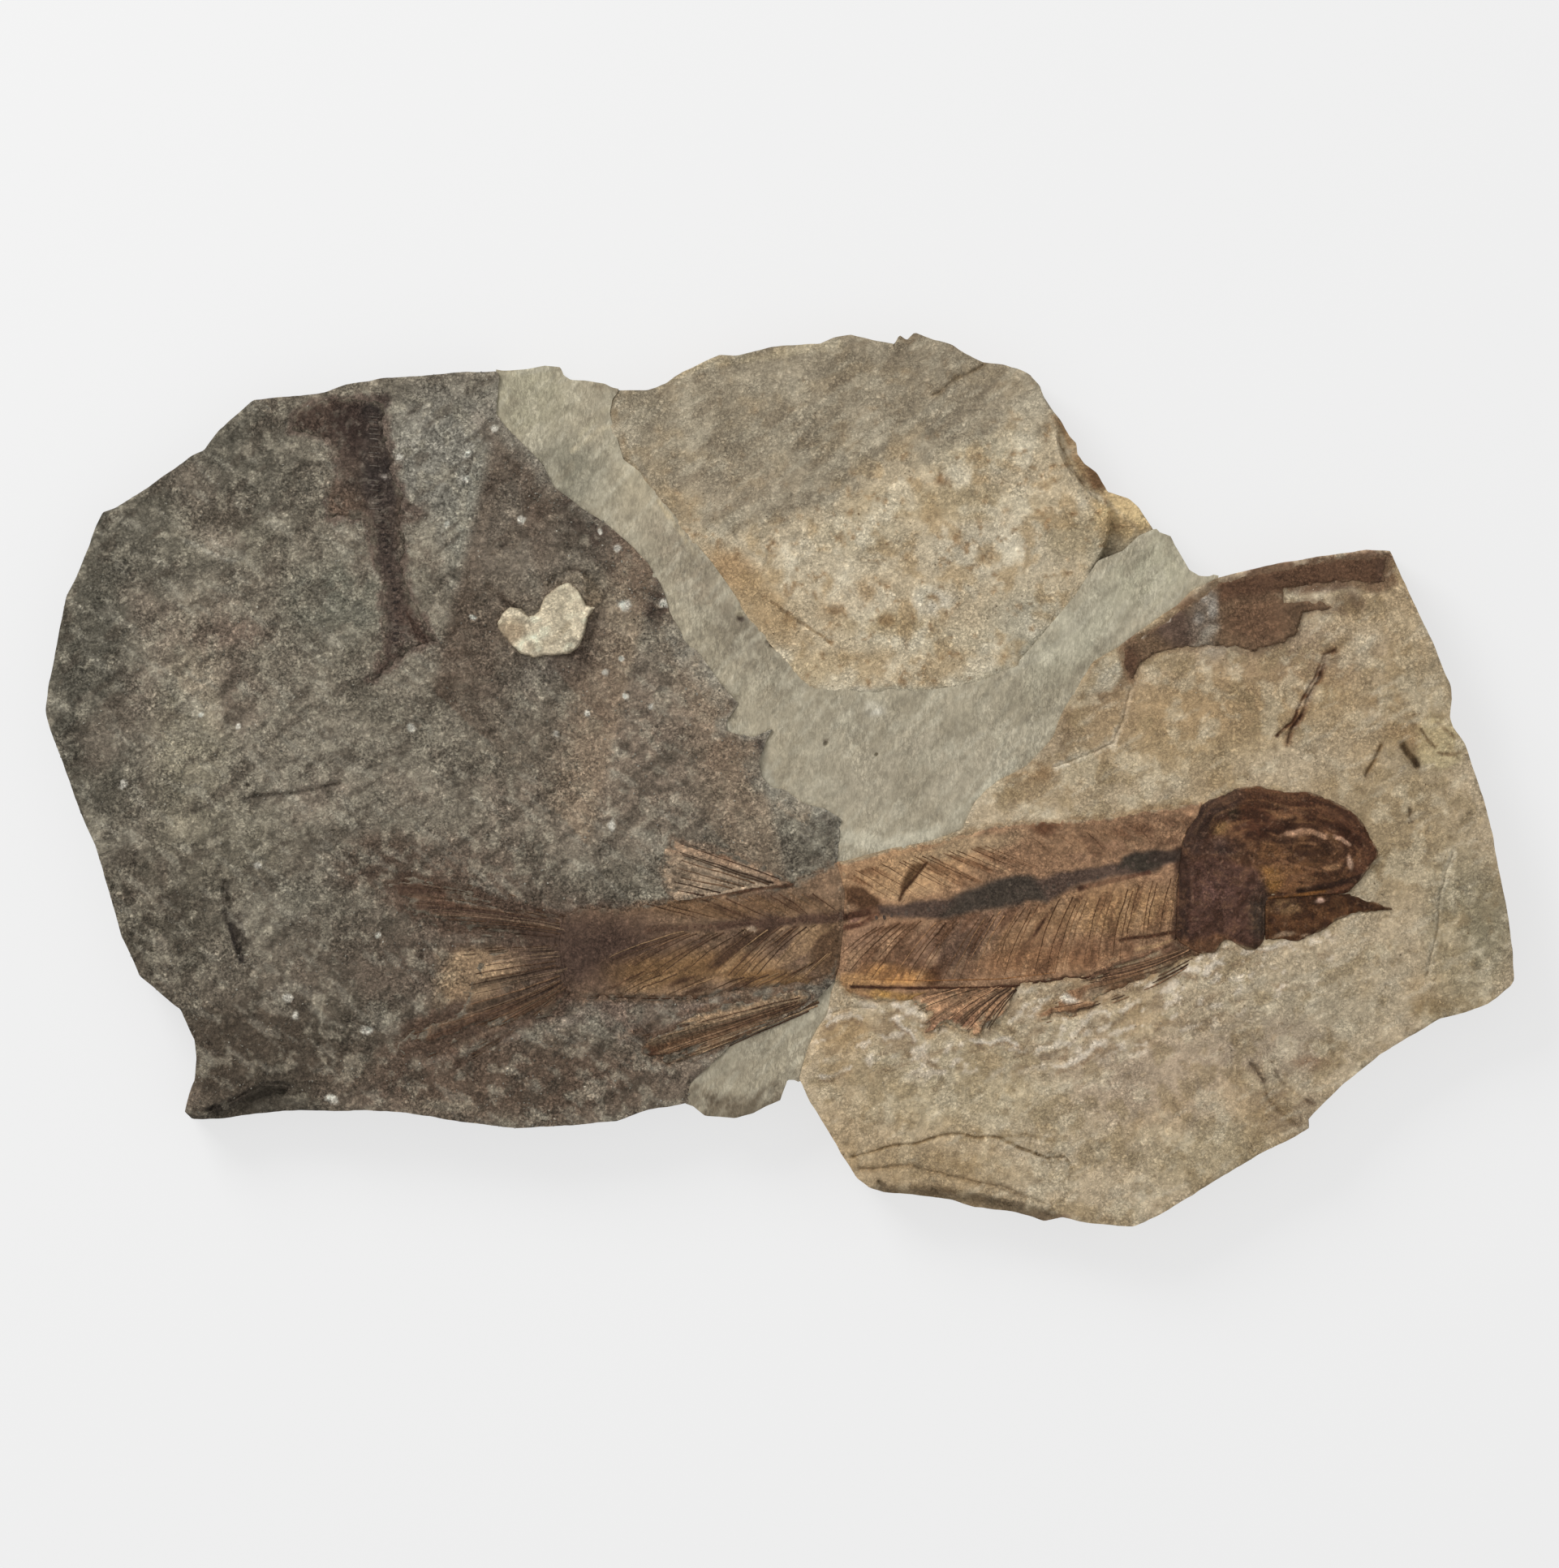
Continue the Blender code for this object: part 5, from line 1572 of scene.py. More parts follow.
def film_paint(node, points, depth, colour, stone, seed, edge=1.4 * MM, fans=()):
    """A film's colour, which fades to the stone's at its ragged edge."""
    paint = Paint(points, colour, seed)
    paint.wash([c * 0.74 for c in colour], 0.6 * paint.spread(4.5, 4, 3, 0.0, 0.6))
    paint.wash([min(255, c * 1.24) for c in colour], 0.5 * paint.spread(3, 4, 4, 0.05, 0.6))
    ragged = depth + 0.8 * edge * rough(paint.points, 2.4 * MM, 4, seed + 9)
    bare = 1 - ramp(ragged + frayed(paint.points, fans, seed), 0.1 * MM, edge)
    paint.edge = bare * (1 - joined(paint.points, node))
    paint.stone = stone
    return paint


def finish_film(piece, paint, fade=0.9):
    """Fades the edge, adds the fine grain and stores the colours."""
    paint.wash(paint.stone, fade * paint.edge)
    paint.shade(0.16 * rough(paint.points, 1.2 * MM, 3, 47))
    tint(piece, paint.light())


def grooved(fans, height, seed):
    """A rise that follows the rays of some fans, for a film so many metres high."""
    def rise(points, depth):
        relief = 0.14 * MM * rough(points, 3 * MM, 3, seed)
        for fan in fans:
            relief = relief - 0.2 * MM * fan.fibres(points, seed) * fan.inside(points)
        return height + relief
    return rise


# %% The front trunk
FRONT_RIBS = Fan(
    "1084,1138 1130,1134 1190,1126 1260,1114 1330,1102 1400,1084 1456,1070",
    "1036,1172 1042,1202 1084,1214 1166,1212 1266,1208 1368,1196 1442,1168", 48, 0.04)
FRONT_SPINES = Fan(
    "1034,1078 1076,1064 1136,1053 1210,1040",
    "1094,1112 1142,1104 1208,1088 1284,1068", 22)
NAPE_SPINES = Fan("1262,1028 1340,1018 1420,1008 1480,1000",
                  "1304,1066 1380,1050 1450,1040 1490,1030", 20)
FRONT_BACKBONE = "1080,1131 1150,1119 1200,1108 1250,1098 1300,1092 1350,1081 1400,1064 1450,1055 1486,1048"
BACKBONE_BAND = pairs(
    "1082,1120 1119,1112 1149,1108 1176,1103 1200,1097 1224,1086 1248,1081 1275,1079 1299,1077 "
    "1320,1075 1350,1070 1377,1064 1386,1051 1398,1045 1422,1048 1446,1047 1446,1060 1425,1068 "
    "1407,1075 1380,1080 1350,1090 1320,1097 1290,1109 1260,1112 1230,1114 1200,1118 1170,1127 "
    "1146,1130 1119,1130 1086,1129")
PATHS["backbone_band"] = BACKBONE_BAND
PATHS["backbone_thick"] = BACKBONE_BAND[3:8] + pairs("1290,1111 1260,1112 1200,1118 1160,1126")
PATHS["belly_line"] = "1050,1216 1150,1217 1240,1216 1300,1207 1400,1199"
FRONT_WASHES = """
192 154 114 .9 oval 1120,1074 100,36 10
174 150 118 .8 oval 1190,1044 80,14 12
146 114 86 .8 oval 1340,1036 90,24 8
104 74 54 .7 oval 1392,1022 28,10 0
154 120 94 .7 oval 1372,1040 16,7 0
154 120 94 .6 oval 1330,1056 16,6 0
90 60 42 .8 oval 1288,1018 18,10 0
84 58 40 .85 patch 1038,1094 1062,1095 1082,1109 1088,1123 1060,1124 1042,1112 4
176 138 98 .85 oval 1375,1122 90,32 8
134 104 84 .75 oval 1190,1150 90,30 25
100 78 64 .75 oval 1186,1172 46,26 35
150 116 84 .7 oval 1270,1150 60,30 30
158 124 98 .8 oval 1066,1156 34,16 20
78 52 36 .9 oval 1146,1202 12,15 0
216 160 100 .95 oval 1100,1202 44,14 0
200 154 104 .8 oval 1056,1208 30,10 0
158 116 82 .7 oval 1290,1184 90,18 3
132 96 70 .6 oval 1340,1166 60,18 5"""
FRONT_LINES = """
68 48 38 .9 line 1453,1050 1457,1100 1453,1160 16
74 48 34 .9 line 1380,1158 1420,1152 1450,1147 4
180 146 108 .7 line 1400,1170 1445,1158 4
192 148 84 .9 line 1080,1226 1120,1231 1160,1229 1190,1222 13
178 138 90 .8 line 1046,1222 1080,1224 8
64 40 28 .9 line belly_line 4
92 66 44 .85 patch 1122,1065 1142,1061 1120,1090 1108,1106 1110,1088 3 .4
70 46 30 .85 line 1141,1062 1124,1084 1112,1098 1108,1108 3 .3
70 46 34 .8 line 1297,1118 1286,1134 1275,1152 3 .2
74 48 36 .9 line 1020,1133 1050,1128 1084,1122 9
88 56 42 .8 line 1036,1144 1060,1140 1082,1128 6
164 122 104 .8 oval 1052,1135 9,3 15
86 70 61 .9 patch backbone_band 4 .9
72 65 56 .75 patch backbone_thick 6 1.2
64 57 48 .9 patch 1378,1068 1384,1052 1400,1046 1426,1050 1430,1062 1408,1073 4
66 54 46 .8 line 1420,1056 1450,1053 1482,1050 12
78 50 38 .8 line 1330,1096 1360,1089 1390,1081 1414,1074 5"""
piece, points, depth = film("fish_trunk_front_film", "fish_trunk_front",
                            grooved((FRONT_RIBS, FRONT_SPINES), 0.4 * MM, 61), FINISHES["fossil_trunk"], 70,
                            feather=1.8 * MM, torn=1.4 * MM)
paint = film_paint("fish_trunk_front", points, depth, (160, 125, 96), TAN_STONE, 70)
paint.rows(FRONT_WASHES)
lay_fibres(paint, FRONT_RIBS, 3, (96, 67, 48), (196, 160, 124), 0.5, 0.45)
lay_fibres(paint, FRONT_SPINES, 4, (106, 72, 48), (206, 172, 132), 0.6, 0.4)
lay_fibres(paint, NAPE_SPINES, 5, (100, 72, 54), (172, 140, 110), 0.5, 0.45)
paint.rows(FRONT_LINES)
finish_film(piece, paint)
front_top = film_tops["fish_trunk_front"]
wires = wires_of(FRONT_RIBS, 1, 0.2 * MM, [(160, 122, 88), (120, 87, 62), (98, 69, 48)], 0.02, loss=0.4)
wires += wires_of(FRONT_SPINES, 2, 0.13 * MM, [(112, 78, 50), (92, 60, 40)], waver=0.8, loss=0.3)
wires += wires_of(NAPE_SPINES, 3, 0.14 * MM, [(108, 78, 56), (140, 106, 78)], 0.1, 0.95, loss=0.5)
wires.append(line_wire(PATHS["belly_line"], 0.24 * MM, (76, 48, 34)))
wires.append(line_wire("1060,1206 1140,1208 1230,1206 1300,1198", 0.18 * MM, (156, 108, 66)))
bones("front_ribs", wires, front_top, "fossil_trunk")
vertebrae("front_vertebrae", FRONT_BACKBONE, front_top, "fossil_trunk", (74, 64, 56), (92, 78, 68), 3,
          size=(0.8, 1.1, 0.12))

# %% The rear trunk
REAR_SPINES = Fan("770,1114 830,1108 900,1102 960,1098 1006,1100",
                  "860,1136 930,1134 1000,1130 1030,1127 1040,1124", 17)
REAR_RIBS = Fan("830,1148 880,1146 930,1142 980,1140 1036,1136",
                "726,1184 786,1194 846,1202 906,1204 984,1194", 24, 0.03)
LOWER_RIBS = Fan("790,1194 850,1202 910,1204 985,1194 1036,1166",
                 "736,1222 786,1226 846,1227 916,1226 990,1216", 20, 0.03)
REAR_BACKBONE = pairs("800,1146 860,1142 940,1137 1000,1133 1036,1129")
PATHS["rear_spine"], PATHS["tail_spine"] = REAR_BACKBONE[1:], REAR_BACKBONE[:2]
REAR_WASHES = """
104 82 68 .6 spread 14 4 12 .0 .5
126 97 70 .7 oval 900,1118 130,12 0
98 77 64 .75 oval 760,1162 90,40 0
78 60 51 .75 oval 744,1170 60,22 20
126 96 64 .85 oval 815,1196 80,22 0
142 108 72 .7 oval 900,1190 70,20 -10
96 72 52 .8 oval 1020,1165 24,40 0
138 104 66 .7 oval 960,1212 60,14 -10"""
REAR_LINES = """
78 54 40 .8 line 835,1108 900,1098 975,1089 7
88 66 54 .85 line rear_spine 10 1.0
94 72 58 .7 line tail_spine 9
72 50 36 .85 line 728,1226 800,1229 860,1229 912,1227 5
188 164 144 .7 line 865,1240 882,1235 6
188 164 144 .7 line 926,1243 948,1238 6
176 158 138 .6 line 760,1264 800,1250 850,1240 5
186 164 140 .7 oval 925,1146 5,4 0"""
piece, points, depth = film("fish_trunk_rear_film", "fish_trunk_rear",
                            grooved((REAR_SPINES, REAR_RIBS, LOWER_RIBS), 0.4 * MM, 62),
                            FINISHES["fossil_trunk"], 71, feather=2.0 * MM, torn=1.8 * MM)
paint = film_paint("fish_trunk_rear", points, depth, (140, 114, 90), DARK_STONE, 71, 2.2 * MM)
paint.rows(REAR_WASHES)
lay_fibres(paint, REAR_SPINES, 5, (78, 56, 42), (160, 126, 92), 0.55, 0.35)
lay_fibres(paint, REAR_RIBS, 6, (70, 50, 38), (184, 150, 112), 0.75, 0.6)
lay_fibres(paint, LOWER_RIBS, 7, (76, 54, 40), (178, 144, 104), 0.75, 0.55)
paint.rows(REAR_LINES)
root_of_tail(paint)
finish_film(piece, paint)
rear_top = film_tops["fish_trunk_rear"]
wires = wires_of(REAR_SPINES, 4, 0.24 * MM, [(94, 68, 50), (132, 102, 74)], loss=0.25)
wires += wires_of(REAR_RIBS, 5, 0.26 * MM, [(156, 126, 94), (114, 88, 66), (88, 66, 50)], loss=0.25)
wires += wires_of(LOWER_RIBS, 6, 0.24 * MM, [(150, 120, 88), (94, 70, 52)], loss=0.25)
wires.append(line_wire("728,1227 800,1230 860,1230 912,1228", 0.22 * MM, (80, 56, 40)))
bones("rear_ribs", wires, rear_top, "fossil_trunk")
vertebrae("rear_vertebrae", REAR_BACKBONE, rear_top, "fossil_trunk", (84, 62, 50), (98, 74, 59), 4,
          size=(0.8, 0.8, 0.16))

# %% [markdown]
# ## The fins
#
# A fin is a fan of fine rays with almost nothing between them. Its film is the palest and thinnest
# part of the fish, and its rays come from the same class as the ribs, closer together and slimmer.

# %% The fins and their rays
BROWN_RAYS = [(102, 78, 60), (82, 62, 49), (118, 92, 70)]
FINS = {
    "fish_dorsal_fin": (
        (180, 156, 130), DARK_STONE, 0.3,
        """
122 88 66 .7 line 832,1034 880,1044 940,1068 974,1084 26
190 166 142 .6 oval 812,1102 16,6 0"""),
    "fish_anal_fin": (
        (168, 140, 110), DARK_STONE, 0.3,
        """
102 74 53 .9 patch 1010,1226 940,1244 860,1272 792,1290 798,1304 870,1298 950,1266 1012,1236 4
122 91 66 .85 patch 1014,1240 940,1264 880,1290 828,1308 856,1314 920,1290 984,1258 4
170 146 116 .8 line 990,1240 920,1268 860,1296 5
76 52 38 .8 oval 806,1300 20,8 -20"""),
    "fish_pectoral_fin": (
        (168, 130, 98), TAN_STONE, 0.26,
        """
106 78 61 .8 line 1490,1158 1450,1168 1400,1186 1350,1202 18
108 78 57 .85 line 1484,1176 1430,1198 1390,1214 1350,1236 1292,1256 9
124 92 66 .8 line 1400,1200 1350,1226 1300,1246 16
236 222 202 .95 oval 1312,1228 20,6 -8
190 172 144 .6 oval 1350,1222 20,6 20"""),
    "fish_pelvic_fin": (
        (206, 160, 122), TAN_STONE, 0.24,
        """
150 108 84 .7 oval 1172,1260 40,12 10
120 84 58 .7 line 1180,1218 1240,1216 7"""),
    "fish_tail_fin": (
        (124, 102, 82), DARK_STONE, 0.28,
        """
84 64 53 .9 patch 470,1074 560,1098 700,1140 706,1158 600,1150 500,1118 8
104 76 62 .6 oval 556,1110 26,9 -15
206 174 136 .9 patch tail_gold 9
94 71 57 .85 patch 704,1196 620,1232 500,1286 496,1304 560,1292 700,1222 7
104 72 54 .7 line 700,1226 660,1234 630,1244 8
150 128 102 .7 line 640,1262 580,1282 520,1298 6
74 56 47 .9 oval 706,1168 18,32 0""")}
for seed, (node, (colour, stone, thickness, washes)) in enumerate(FINS.items()):
    fans = FIN_FANS[node]
    piece, points, depth = film(
        node + "_film", node, grooved(fans, 0.25 * MM, 80 + seed), FINISHES["fossil_fin"], 80 + seed,
        feather=1.6 * MM, torn=1.8 * MM, fans=fans)
    darker, paler = [c * 0.6 for c in colour], [min(235, c * 1.3) for c in colour]
    paint = film_paint(node, points, depth, colour, stone, 80 + seed, 2.2 * MM, fans)
    paint.wash(stone, 0.5 * paint.spread(3, 4, 21, 0.0, 0.5))
    paint.rows(washes)
    for fan in fans:
        lay_fibres(paint, fan, seed, darker, paler, 0.8, 0.5)
    root_of_tail(paint)
    finish_film(piece, paint, 1.0)
    wires = []
    for part, fan in enumerate(fans):
        wires += wires_of(fan, 90 + 10 * seed + part, thickness * MM, BROWN_RAYS + [colour])
    bones(node + "_rays", wires, film_tops[node], "fossil_fin")

# %% [markdown]
# ## The skull
#
# The head is the boldest part of the fish: thick glossy bone, almost black at its rim, with the jaws,
# the gill cover and a few pale sutures showing. Its relief is modelled with ridges along those lines,
# on a finer net than the rest.

# %% Relief of the skull
SKULL_PITCH = 0.3 * MM
SKULL_RIDGES = [
    ("1462,1058 1474,1022 1500,992 1540,976 1590,980 1640,1000 1676,1030 1690,1060 1680,1086 "
     "1655,1100", 11, 0.7),
    ("1596,1030 1620,1026 1650,1034 1666,1052 1662,1068", 4, 0.45),
    ("1590,1016 1640,1014 1672,1040", 5, -0.4),
    ("1600,1044 1640,1050 1650,1060", 7, -0.45),
    ("1562,1104 1600,1100 1650,1097", 4, -0.5),
    ("1464,1066 1464,1100 1470,1140", 4, 0.4),
    ("1556,1070 1568,1100 1562,1150", 5, -0.4),
    ("1500,1062 1530,1064 1552,1072", 5, -0.35),
    ("1506,1004 1530,990 1570,992", 4, 0.35),
    ("1640,1062 1600,1080 1570,1082", 5, 0.35),
    ("1600,1112 1650,1104 1700,1110", 6, 0.4)]
PATHS["skull_rim"] = SKULL_RIDGES[0][0]


def skull_rise(points, depth):
    """Height of the head bones over the plate."""
    dome = 1 - np.exp(-np.maximum(depth - 0.8 * MM, 0) / (6 * MM))
    height = 0.45 + 0.9 * dome + 0.3 * rough(points, 6 * MM, 4, 62) + 0.12 * rough(points, 1.6 * MM, 3, 63)
    for pixels, width, rise in SKULL_RIDGES:
        height = height + rise * np.exp(-(distance_to(points, spots(pixels)) / (width * PIXEL)) ** 2)
    cover = depth_in(points, spots("1460,1062 1500,1056 1552,1072 1566,1110 1556,1166 1466,1150"))
    return (height + 0.35 * ramp(cover, -0.5 * MM, 2 * MM)) * MM


# %% The skull and the lower jaw
HEAD_MIDDLE = (1590, 1050)
SKULL_WASHES = """
92 60 42 .95 line skull_rim 34
98 66 44 .5 line 1500,1002 1540,988 1590,993 1640,1013 1668,1040 7
128 90 62 .7 line 1512,996 1536,988 1560,989 5
140 104 74 .7 line 1566,992 1590,996 1608,1003 5
68 51 42 .9 line 1512,980 1480,1004 1460,1050 30
152 118 76 .85 oval 1502,1022 14,9 30
54 48 34 .85 oval 1519,1003 9,9 0
104 80 70 .75 oval 1500,1046 30,14 0
58 42 36 .7 oval 1508,1050 14,6 0
84 51 35 .8 oval 1545,1012 30,20 -5
60 36 24 .85 line 1540,1030 1600,1012 1650,1022 1672,1040 12
70 46 28 .7 patch 1596,1036 1640,1042 1652,1050 1628,1060 1582,1062 6 1.6
110 76 48 .8 oval 1566,1050 22,14 0
120 84 52 .7 oval 1590,1072 40,9 8
156 112 62 .9 oval 1562,1084 17,15 0
150 106 70 .8 oval 1594,1092 22,8 0
84 56 36 .8 oval 1640,1082 34,10 5
92 65 54 .95 patch 1456,1062 1510,1058 1548,1076 1564,1110 1552,1172 1520,1160 1500,1150 1460,1158 6
118 86 76 .75 oval 1498,1098 22,16 0
72 59 48 .85 oval 1552,1130 15,36 0
60 42 34 .85 line 1456,1058 1460,1100 1456,1150 13
134 104 86 .5 line 1468,1070 1469,1110 3
66 56 34 .8 oval 1540,1172 16,9 0
50 32 22 .9 line 1600,1098 1640,1092 1684,1076 7
140 92 46 .8 line 1562,1106 1600,1103 1630,1099 4"""
SKULL_STREAKS = """
190 150 120 .95 line 1584,1026 1600,1024 1616,1026 1632,1031 6 .6
160 122 92 .7 oval 1606,1028 18,5 5
200 160 132 .85 line 1643,1031 1654,1035 1662,1042 4 .6
206 170 144 .9 oval 1664,1062 4,8 0
178 136 98 .85 oval 1642,1066 13,5 15
150 110 78 .6 line 1580,1044 1600,1040 1620,1040 3
150 110 78 .6 line 1576,1060 1600,1068 1626,1072 3
196 168 138 .7 line 1691,1040 1699,1052 4"""
JAW_WASHES = """
126 98 68 .85 oval 1582,1116 24,11 0
66 42 26 .9 line 1604,1108 1650,1106 1716,1120 14
94 62 40 .7 line 1570,1140 1620,1134 1670,1124 8"""
JAW_STREAKS = """
218 180 158 .95 oval 1627,1110 6,4 20
184 158 130 .7 oval 1584,1152 16,3 10
184 158 130 .7 oval 1610,1150 6,3 10"""
for seed, (node, colour, washes, marks) in enumerate((
        ("fish_skull", (106, 74, 52), SKULL_WASHES, SKULL_STREAKS),
        ("fish_lower_jaw", (88, 58, 36), JAW_WASHES, JAW_STREAKS))):
    piece, points, depth = film(node + "_bone", node, skull_rise, FINISHES["fossil_bone"], 110 + seed,
                                pitch=SKULL_PITCH, grow=0.35 * MM, feather=0.8 * MM)
    paint = film_paint(node, points, depth, colour, TAN_STONE, 110 + seed, 0.8 * MM)
    paint.rows(washes)
    from_eye = paint.points - spots([HEAD_MIDDLE])[0]
    round_head = np.stack((np.arctan2(from_eye[:, 1], from_eye[:, 0]) * 3 * MM, depth), 1)
    layers = rough(round_head, 1.3 * MM, 4, 40)
    ahead = ramp(pixels_of(paint.points)[:, 0], 1540, 1570) * (node == "fish_skull")
    ahead = np.maximum(ahead, 1 - ramp(pixels_of(paint.points)[:, 1], 1010, 1040))
    mottle = rough(paint.points, 2.2 * MM, 4, 41)
    grain = layers * ahead + mottle * (1 - ahead)
    paint.wash((60, 38, 26), 0.5 * ramp(grain, 0.08, 0.4))
    inner = ramp(depth, 2.5 * MM, 6 * MM)
    paint.wash((158, 117, 80), (0.22 + 0.28 * ahead * inner) * ramp(-grain, 0.1, 0.45))
    paint.wash((176, 142, 116), 0.35 * paint.spread(1.2, 3, 8, 0.35, 0.75))
    paint.rows(marks)
    finish_film(piece, paint, fade=0.6)

# %% [markdown]
# ## The small fossils and the flake
#
# Another fish crossed the dark plate near its top, and all that shows is a dark streak with its
# backbone. The tan plate has brown bony remains at its upper corner. The cream flake in the shape of
# a heart is a scrap of the limestone that once lay on top, and stands a good millimetre proud.

# %% The second fossil
SECOND_SPINE = pairs("463,506 465,560 468,610 472,650 480,700 490,750 488,796")
PATHS["second_top"], PATHS["second_middle"] = SECOND_SPINE[:3], SECOND_SPINE[2:5]
PATHS["second_low"] = SECOND_SPINE[4:]
SECOND_WASHES = """
88 72 62 .8 oval 400,520 50,40 0
70 57 51 .8 oval 430,530 26,40 0
124 104 88 .9 oval 420,630 34,30 0
64 56 52 .9 line second_top 32 1.0
82 71 64 .8 line second_middle 26 1.0
96 82 73 .8 line second_low 24 1.0
112 96 84 .6 oval 410,560 22,26 0
98 80 70 .8 line 500,752 520,776 542,796 22
104 86 76 .6 line 478,810 466,830 16
178 168 156 .9 oval 471,586 4,4 0
134 124 110 .5 spread 2.2 4 14 .15 .45"""
piece, points, depth = film("second_fossil_film", "second_fossil", grooved((), 0.3 * MM, 64),
                            FINISHES["second_fossil"], 120, feather=2.0 * MM, torn=1.8 * MM)
paint = film_paint("second_fossil", points, depth, (106, 91, 79), DARK_STONE, 120, 2.6 * MM)
paint.rows(SECOND_WASHES)
finish_film(piece, paint)
BAR_ROWS = (514, 520, 529, 535, 541, 551, 558, 563, 574, 592, 598, 604, 613, 620, 627)
bars = [line_wire([(446 + y % 3 + y // 60, y), (458 + y % 4 + y // 60, y + 1)],
                  0.17 * MM, (134, 124, 113), 3) for y in BAR_ROWS]
bars += [line_wire([(500, 752), (515, 772 + k * 5), (528 + k * 3, 792 + k * 3)], 0.18 * MM, (86, 68, 58))
         for k in range(4)]
bones("second_fossil_bars", bars, film_tops["second_fossil"], "second_fossil")
vertebrae("second_vertebrae", SECOND_SPINE, film_tops["second_fossil"], "second_fossil",
          (60, 52, 48), (74, 64, 58), 5, spacing=1.9 * MM, size=(0.7, 1.4, 0.14))

# %% The bone patch and the flake
PATCH_WASHES = """
104 76 58 .85 patch 1500,706 1722,670 1722,722 1640,724 1560,730 1500,740 6
80 61 50 .6 oval 1706,706 16,26 0
124 94 72 .8 oval 1550,765 46,34 0
98 72 55 .8 oval 1530,720 34,16 -10
100 81 70 .85 oval 1446,775 36,24 -30
94 68 52 .8 oval 1394,816 14,22 0
146 126 102 .8 patch 1570,732 1604,732 1640,738 1640,744 1600,741 1580,740 3
110 86 66 .8 line 1583,748 1610,752 1634,756 12
138 125 111 .8 oval 1482,760 22,38 0
186 178 165 .9 oval 1480,730 11,12 20
178 170 158 .8 oval 1493,748 9,16 -10
160 150 138 .8 oval 1473,764 8,9 0
170 160 144 .8 oval 1492,780 16,7 25
166 154 136 .8 oval 1480,795 14,8 10
72 54 42 .7 line 1500,800 1540,806 1580,798 6
206 196 178 .8 line 1408,786 1424,770 1440,766 4"""
FLAKE_WASHES = """
178 154 124 .7 oval 630,776 22,18 0
210 196 168 .7 oval 690,745 26,24 0
176 160 132 .6 line 700,770 680,790 655,800 7"""
for node, colour, stone, slot, washes, height, feather, seed in (
        ("bone_patch", (126, 102, 79), (118, 94, 73), "bone_patch", PATCH_WASHES, 0.35, 1.2, 121),
        ("limestone_flake", (226, 211, 182), (180, 164, 138), "cream_flake", FLAKE_WASHES, 1.25, 0.6, 122)):
    piece, points, depth = film(node + "_scrap", node, grooved((), height * MM, seed), FINISHES[slot], seed,
                                grow=0.1 * MM, feather=feather * MM, torn=feather * MM)
    paint = film_paint(node, points, depth, colour, stone, seed, feather * MM)
    paint.rows(washes)
    finish_film(piece, paint)

# %% [markdown]
# ## A tree for loose grains
#
# Under a hand lens the split stone carries hundreds of tiny crystals and crumbs that catch the light.
# A third tree scatters them over a plate: it reads how many belong where from an attribute of the
# mesh, sets a twenty-sided crumb on each point, and turns, sizes and tints every one from its seed.

# %% The tree for grains
grains_tree, given, add = tree_with("scattered_grains", {
    "Grains per square metre": 50000.0, "Smallest": 0.00012, "Largest": 0.0004,
    "Dark colour": (0.1, 0.1, 0.1, 1), "Pale colour": (0.4, 0.4, 0.4, 1), "Seed": 5, "Material": None})
where = add("InputNamedAttribute", {"Name": "grain_share"}, data_type="FLOAT")
density = add("ShaderNodeMath", {0: where, 1: given["Grains per square metre"]}, operation="MULTIPLY")
scattered = add("DistributePointsOnFaces", {
    "Mesh": given["Geometry"], "Density": density, "Seed": given["Seed"]})
crumb = add("MeshIcoSphere", {"Radius": 1.0, "Subdivisions": 1})
spin = add("FunctionNodeRandomValue", {0: (0, 0, 0), 1: (6.28, 6.28, 6.28)}, data_type="FLOAT_VECTOR")
turned = add("FunctionNodeEulerToRotation", {0: spin})
size = add("FunctionNodeRandomValue", {2: given["Smallest"], 3: given["Largest"]}, 1, data_type="FLOAT")
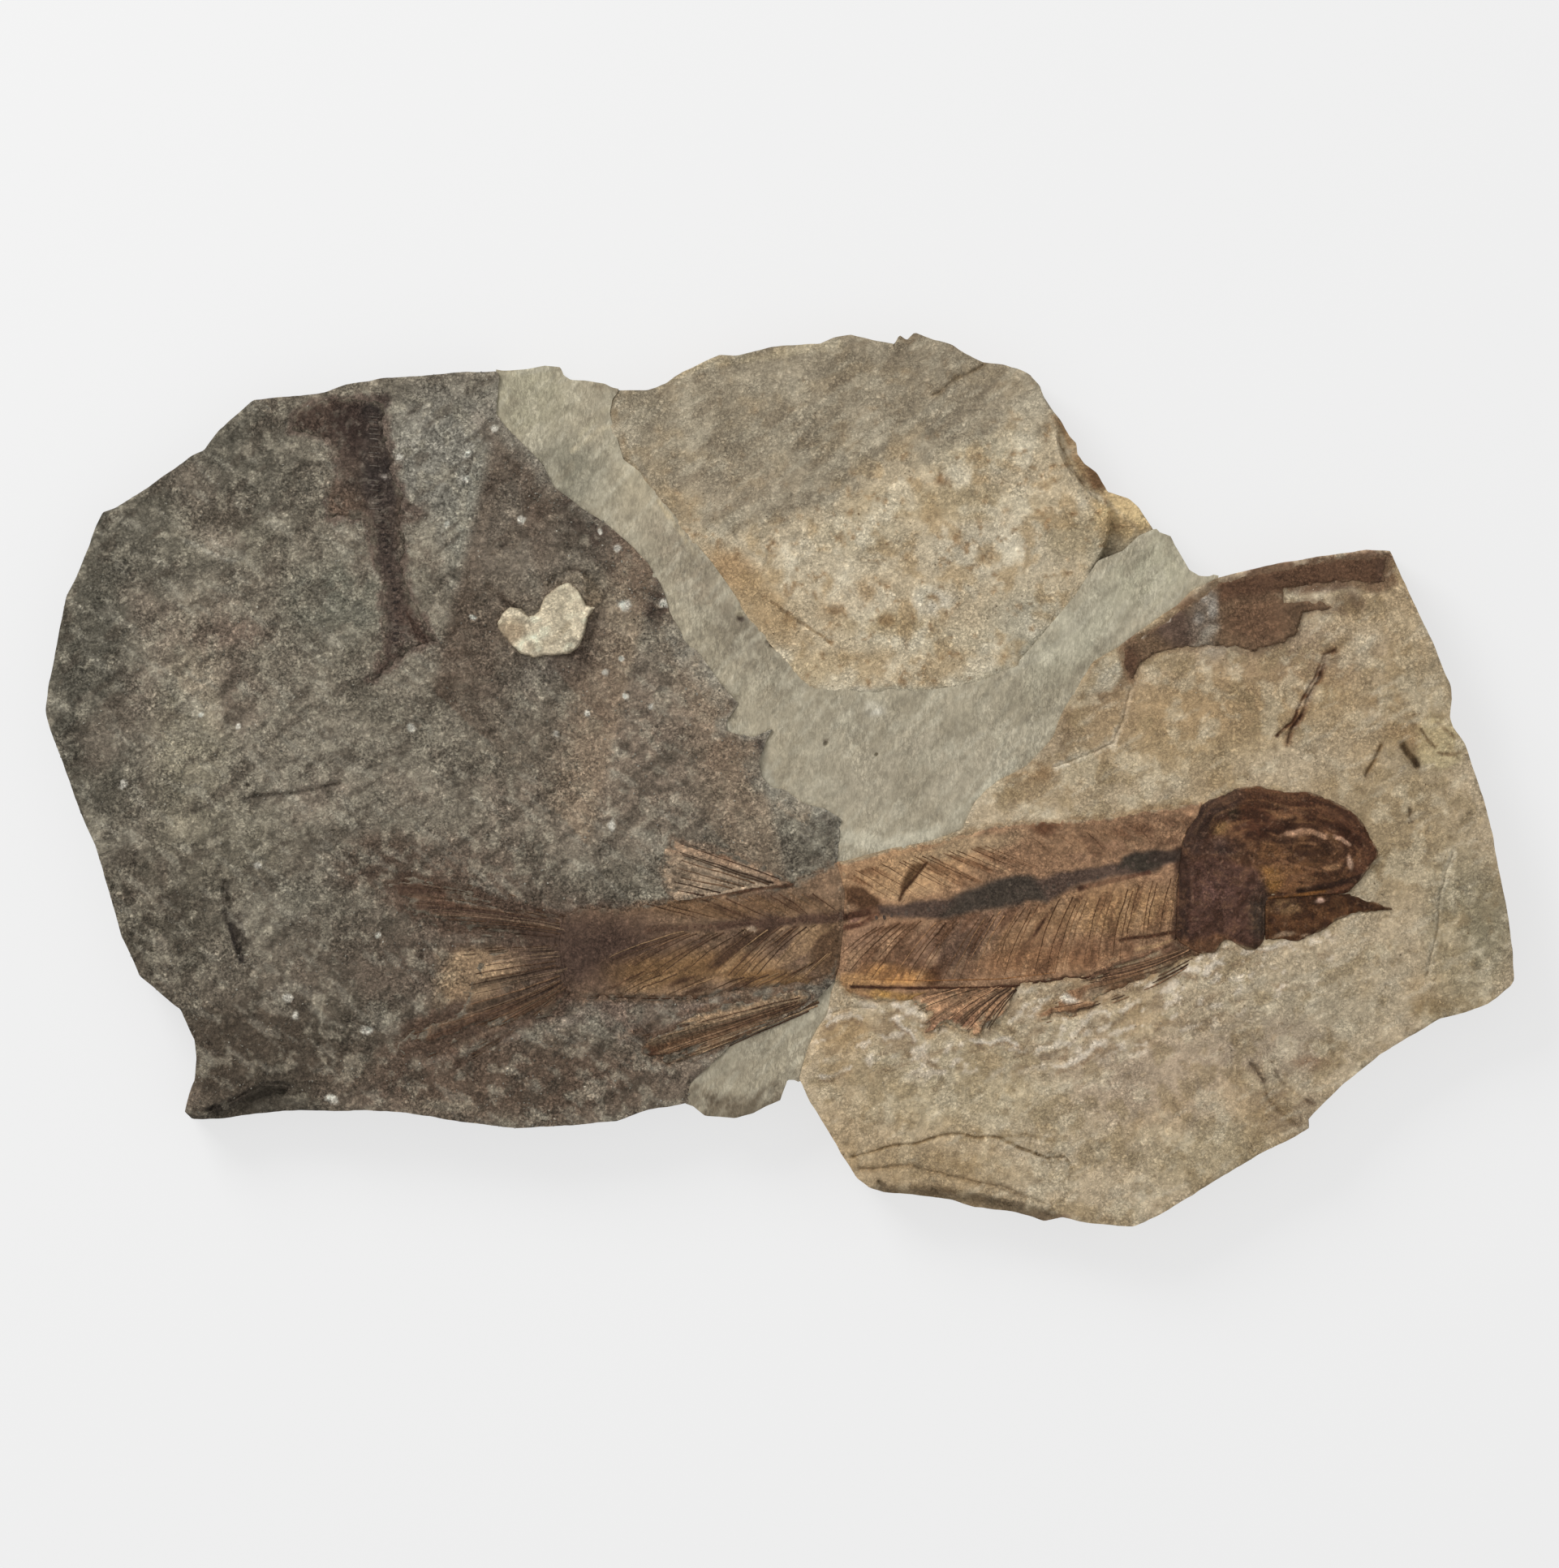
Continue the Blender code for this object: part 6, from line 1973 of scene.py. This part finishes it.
aspect = add("FunctionNodeRandomValue", {0: (0.6, 0.6, 0.35), 1: (1.3, 1.0, 0.7)}, data_type="FLOAT_VECTOR")
sized = add("ShaderNodeVectorMath", {0: aspect, "Scale": size}, operation="SCALE")
crumbs = add("InstanceOnPoints", {
    "Points": scattered, "Instance": crumb, "Rotation": turned, "Scale": sized})
finish_tree(grains_tree, given, add, tinted(given, add, crumbs))


def grains(name, plate, points, share, slot, per_metre, sizes, dark, pale, seed):
    """Crumbs over a plate, as many as the share from 0 to 1 asks at each of its points."""
    source = plate.data.copy()
    level = ramp(points[:, 2], 0.93 * PLATE_TOP, 0.95 * PLATE_TOP)
    share = np.clip(share, 0, 1) * level * (1 - under_fossils(points[:, :2]))
    stored = source.attributes.new("grain_share", "FLOAT", "POINT")
    stored.data.foreach_set("value", share.astype(np.float32))
    piece = grown(name, source, grains_tree, {
        "Grains per square metre": per_metre, "Smallest": sizes[0] * MM, "Largest": sizes[1] * MM,
        "Dark colour": albedo(dark), "Pale colour": albedo(pale), "Seed": seed, "Material": FINISHES[slot]})


# %% Grains on the plates
paint = Paint(dark_points, (0, 0, 0), 51)
crumbly = 0.3 * paint.spread(20, 3, 2, -0.3, 0.5) + 0.1
crumbly = np.maximum(crumbly, paint.line("600,500 680,600 740,655 815,760 900,870", 60))
crumbly = np.maximum(crumbly, paint.line("900,880 940,950 1000,990 1030,1040", 50))
grains("dark_plate_crumbs", dark_plate, dark_points, crumbly, "dark_slate", 260000.0, (0.12, 0.45),
       (110, 103, 90), (206, 200, 184), 5)
paint = Paint(tan_points, (0, 0, 0), 52)
grains("tan_plate_crumbs", tan_plate, tan_points, 0.1 + 0.4 * paint.spread(14, 3, 2, 0.0, 0.6),
       "tan_limestone", 120000.0, (0.12, 0.34), (116, 96, 70), (206, 192, 168), 6)
paint = Paint(upper_points, (0, 0, 0), 53)
grains("upper_plate_crumbs", upper_plate, upper_points, 0.1 + 0.4 * paint.spread(12, 3, 2, 0.0, 0.6),
       "mottled_limestone", 140000.0, (0.12, 0.34), (108, 84, 56), (212, 200, 176), 7)
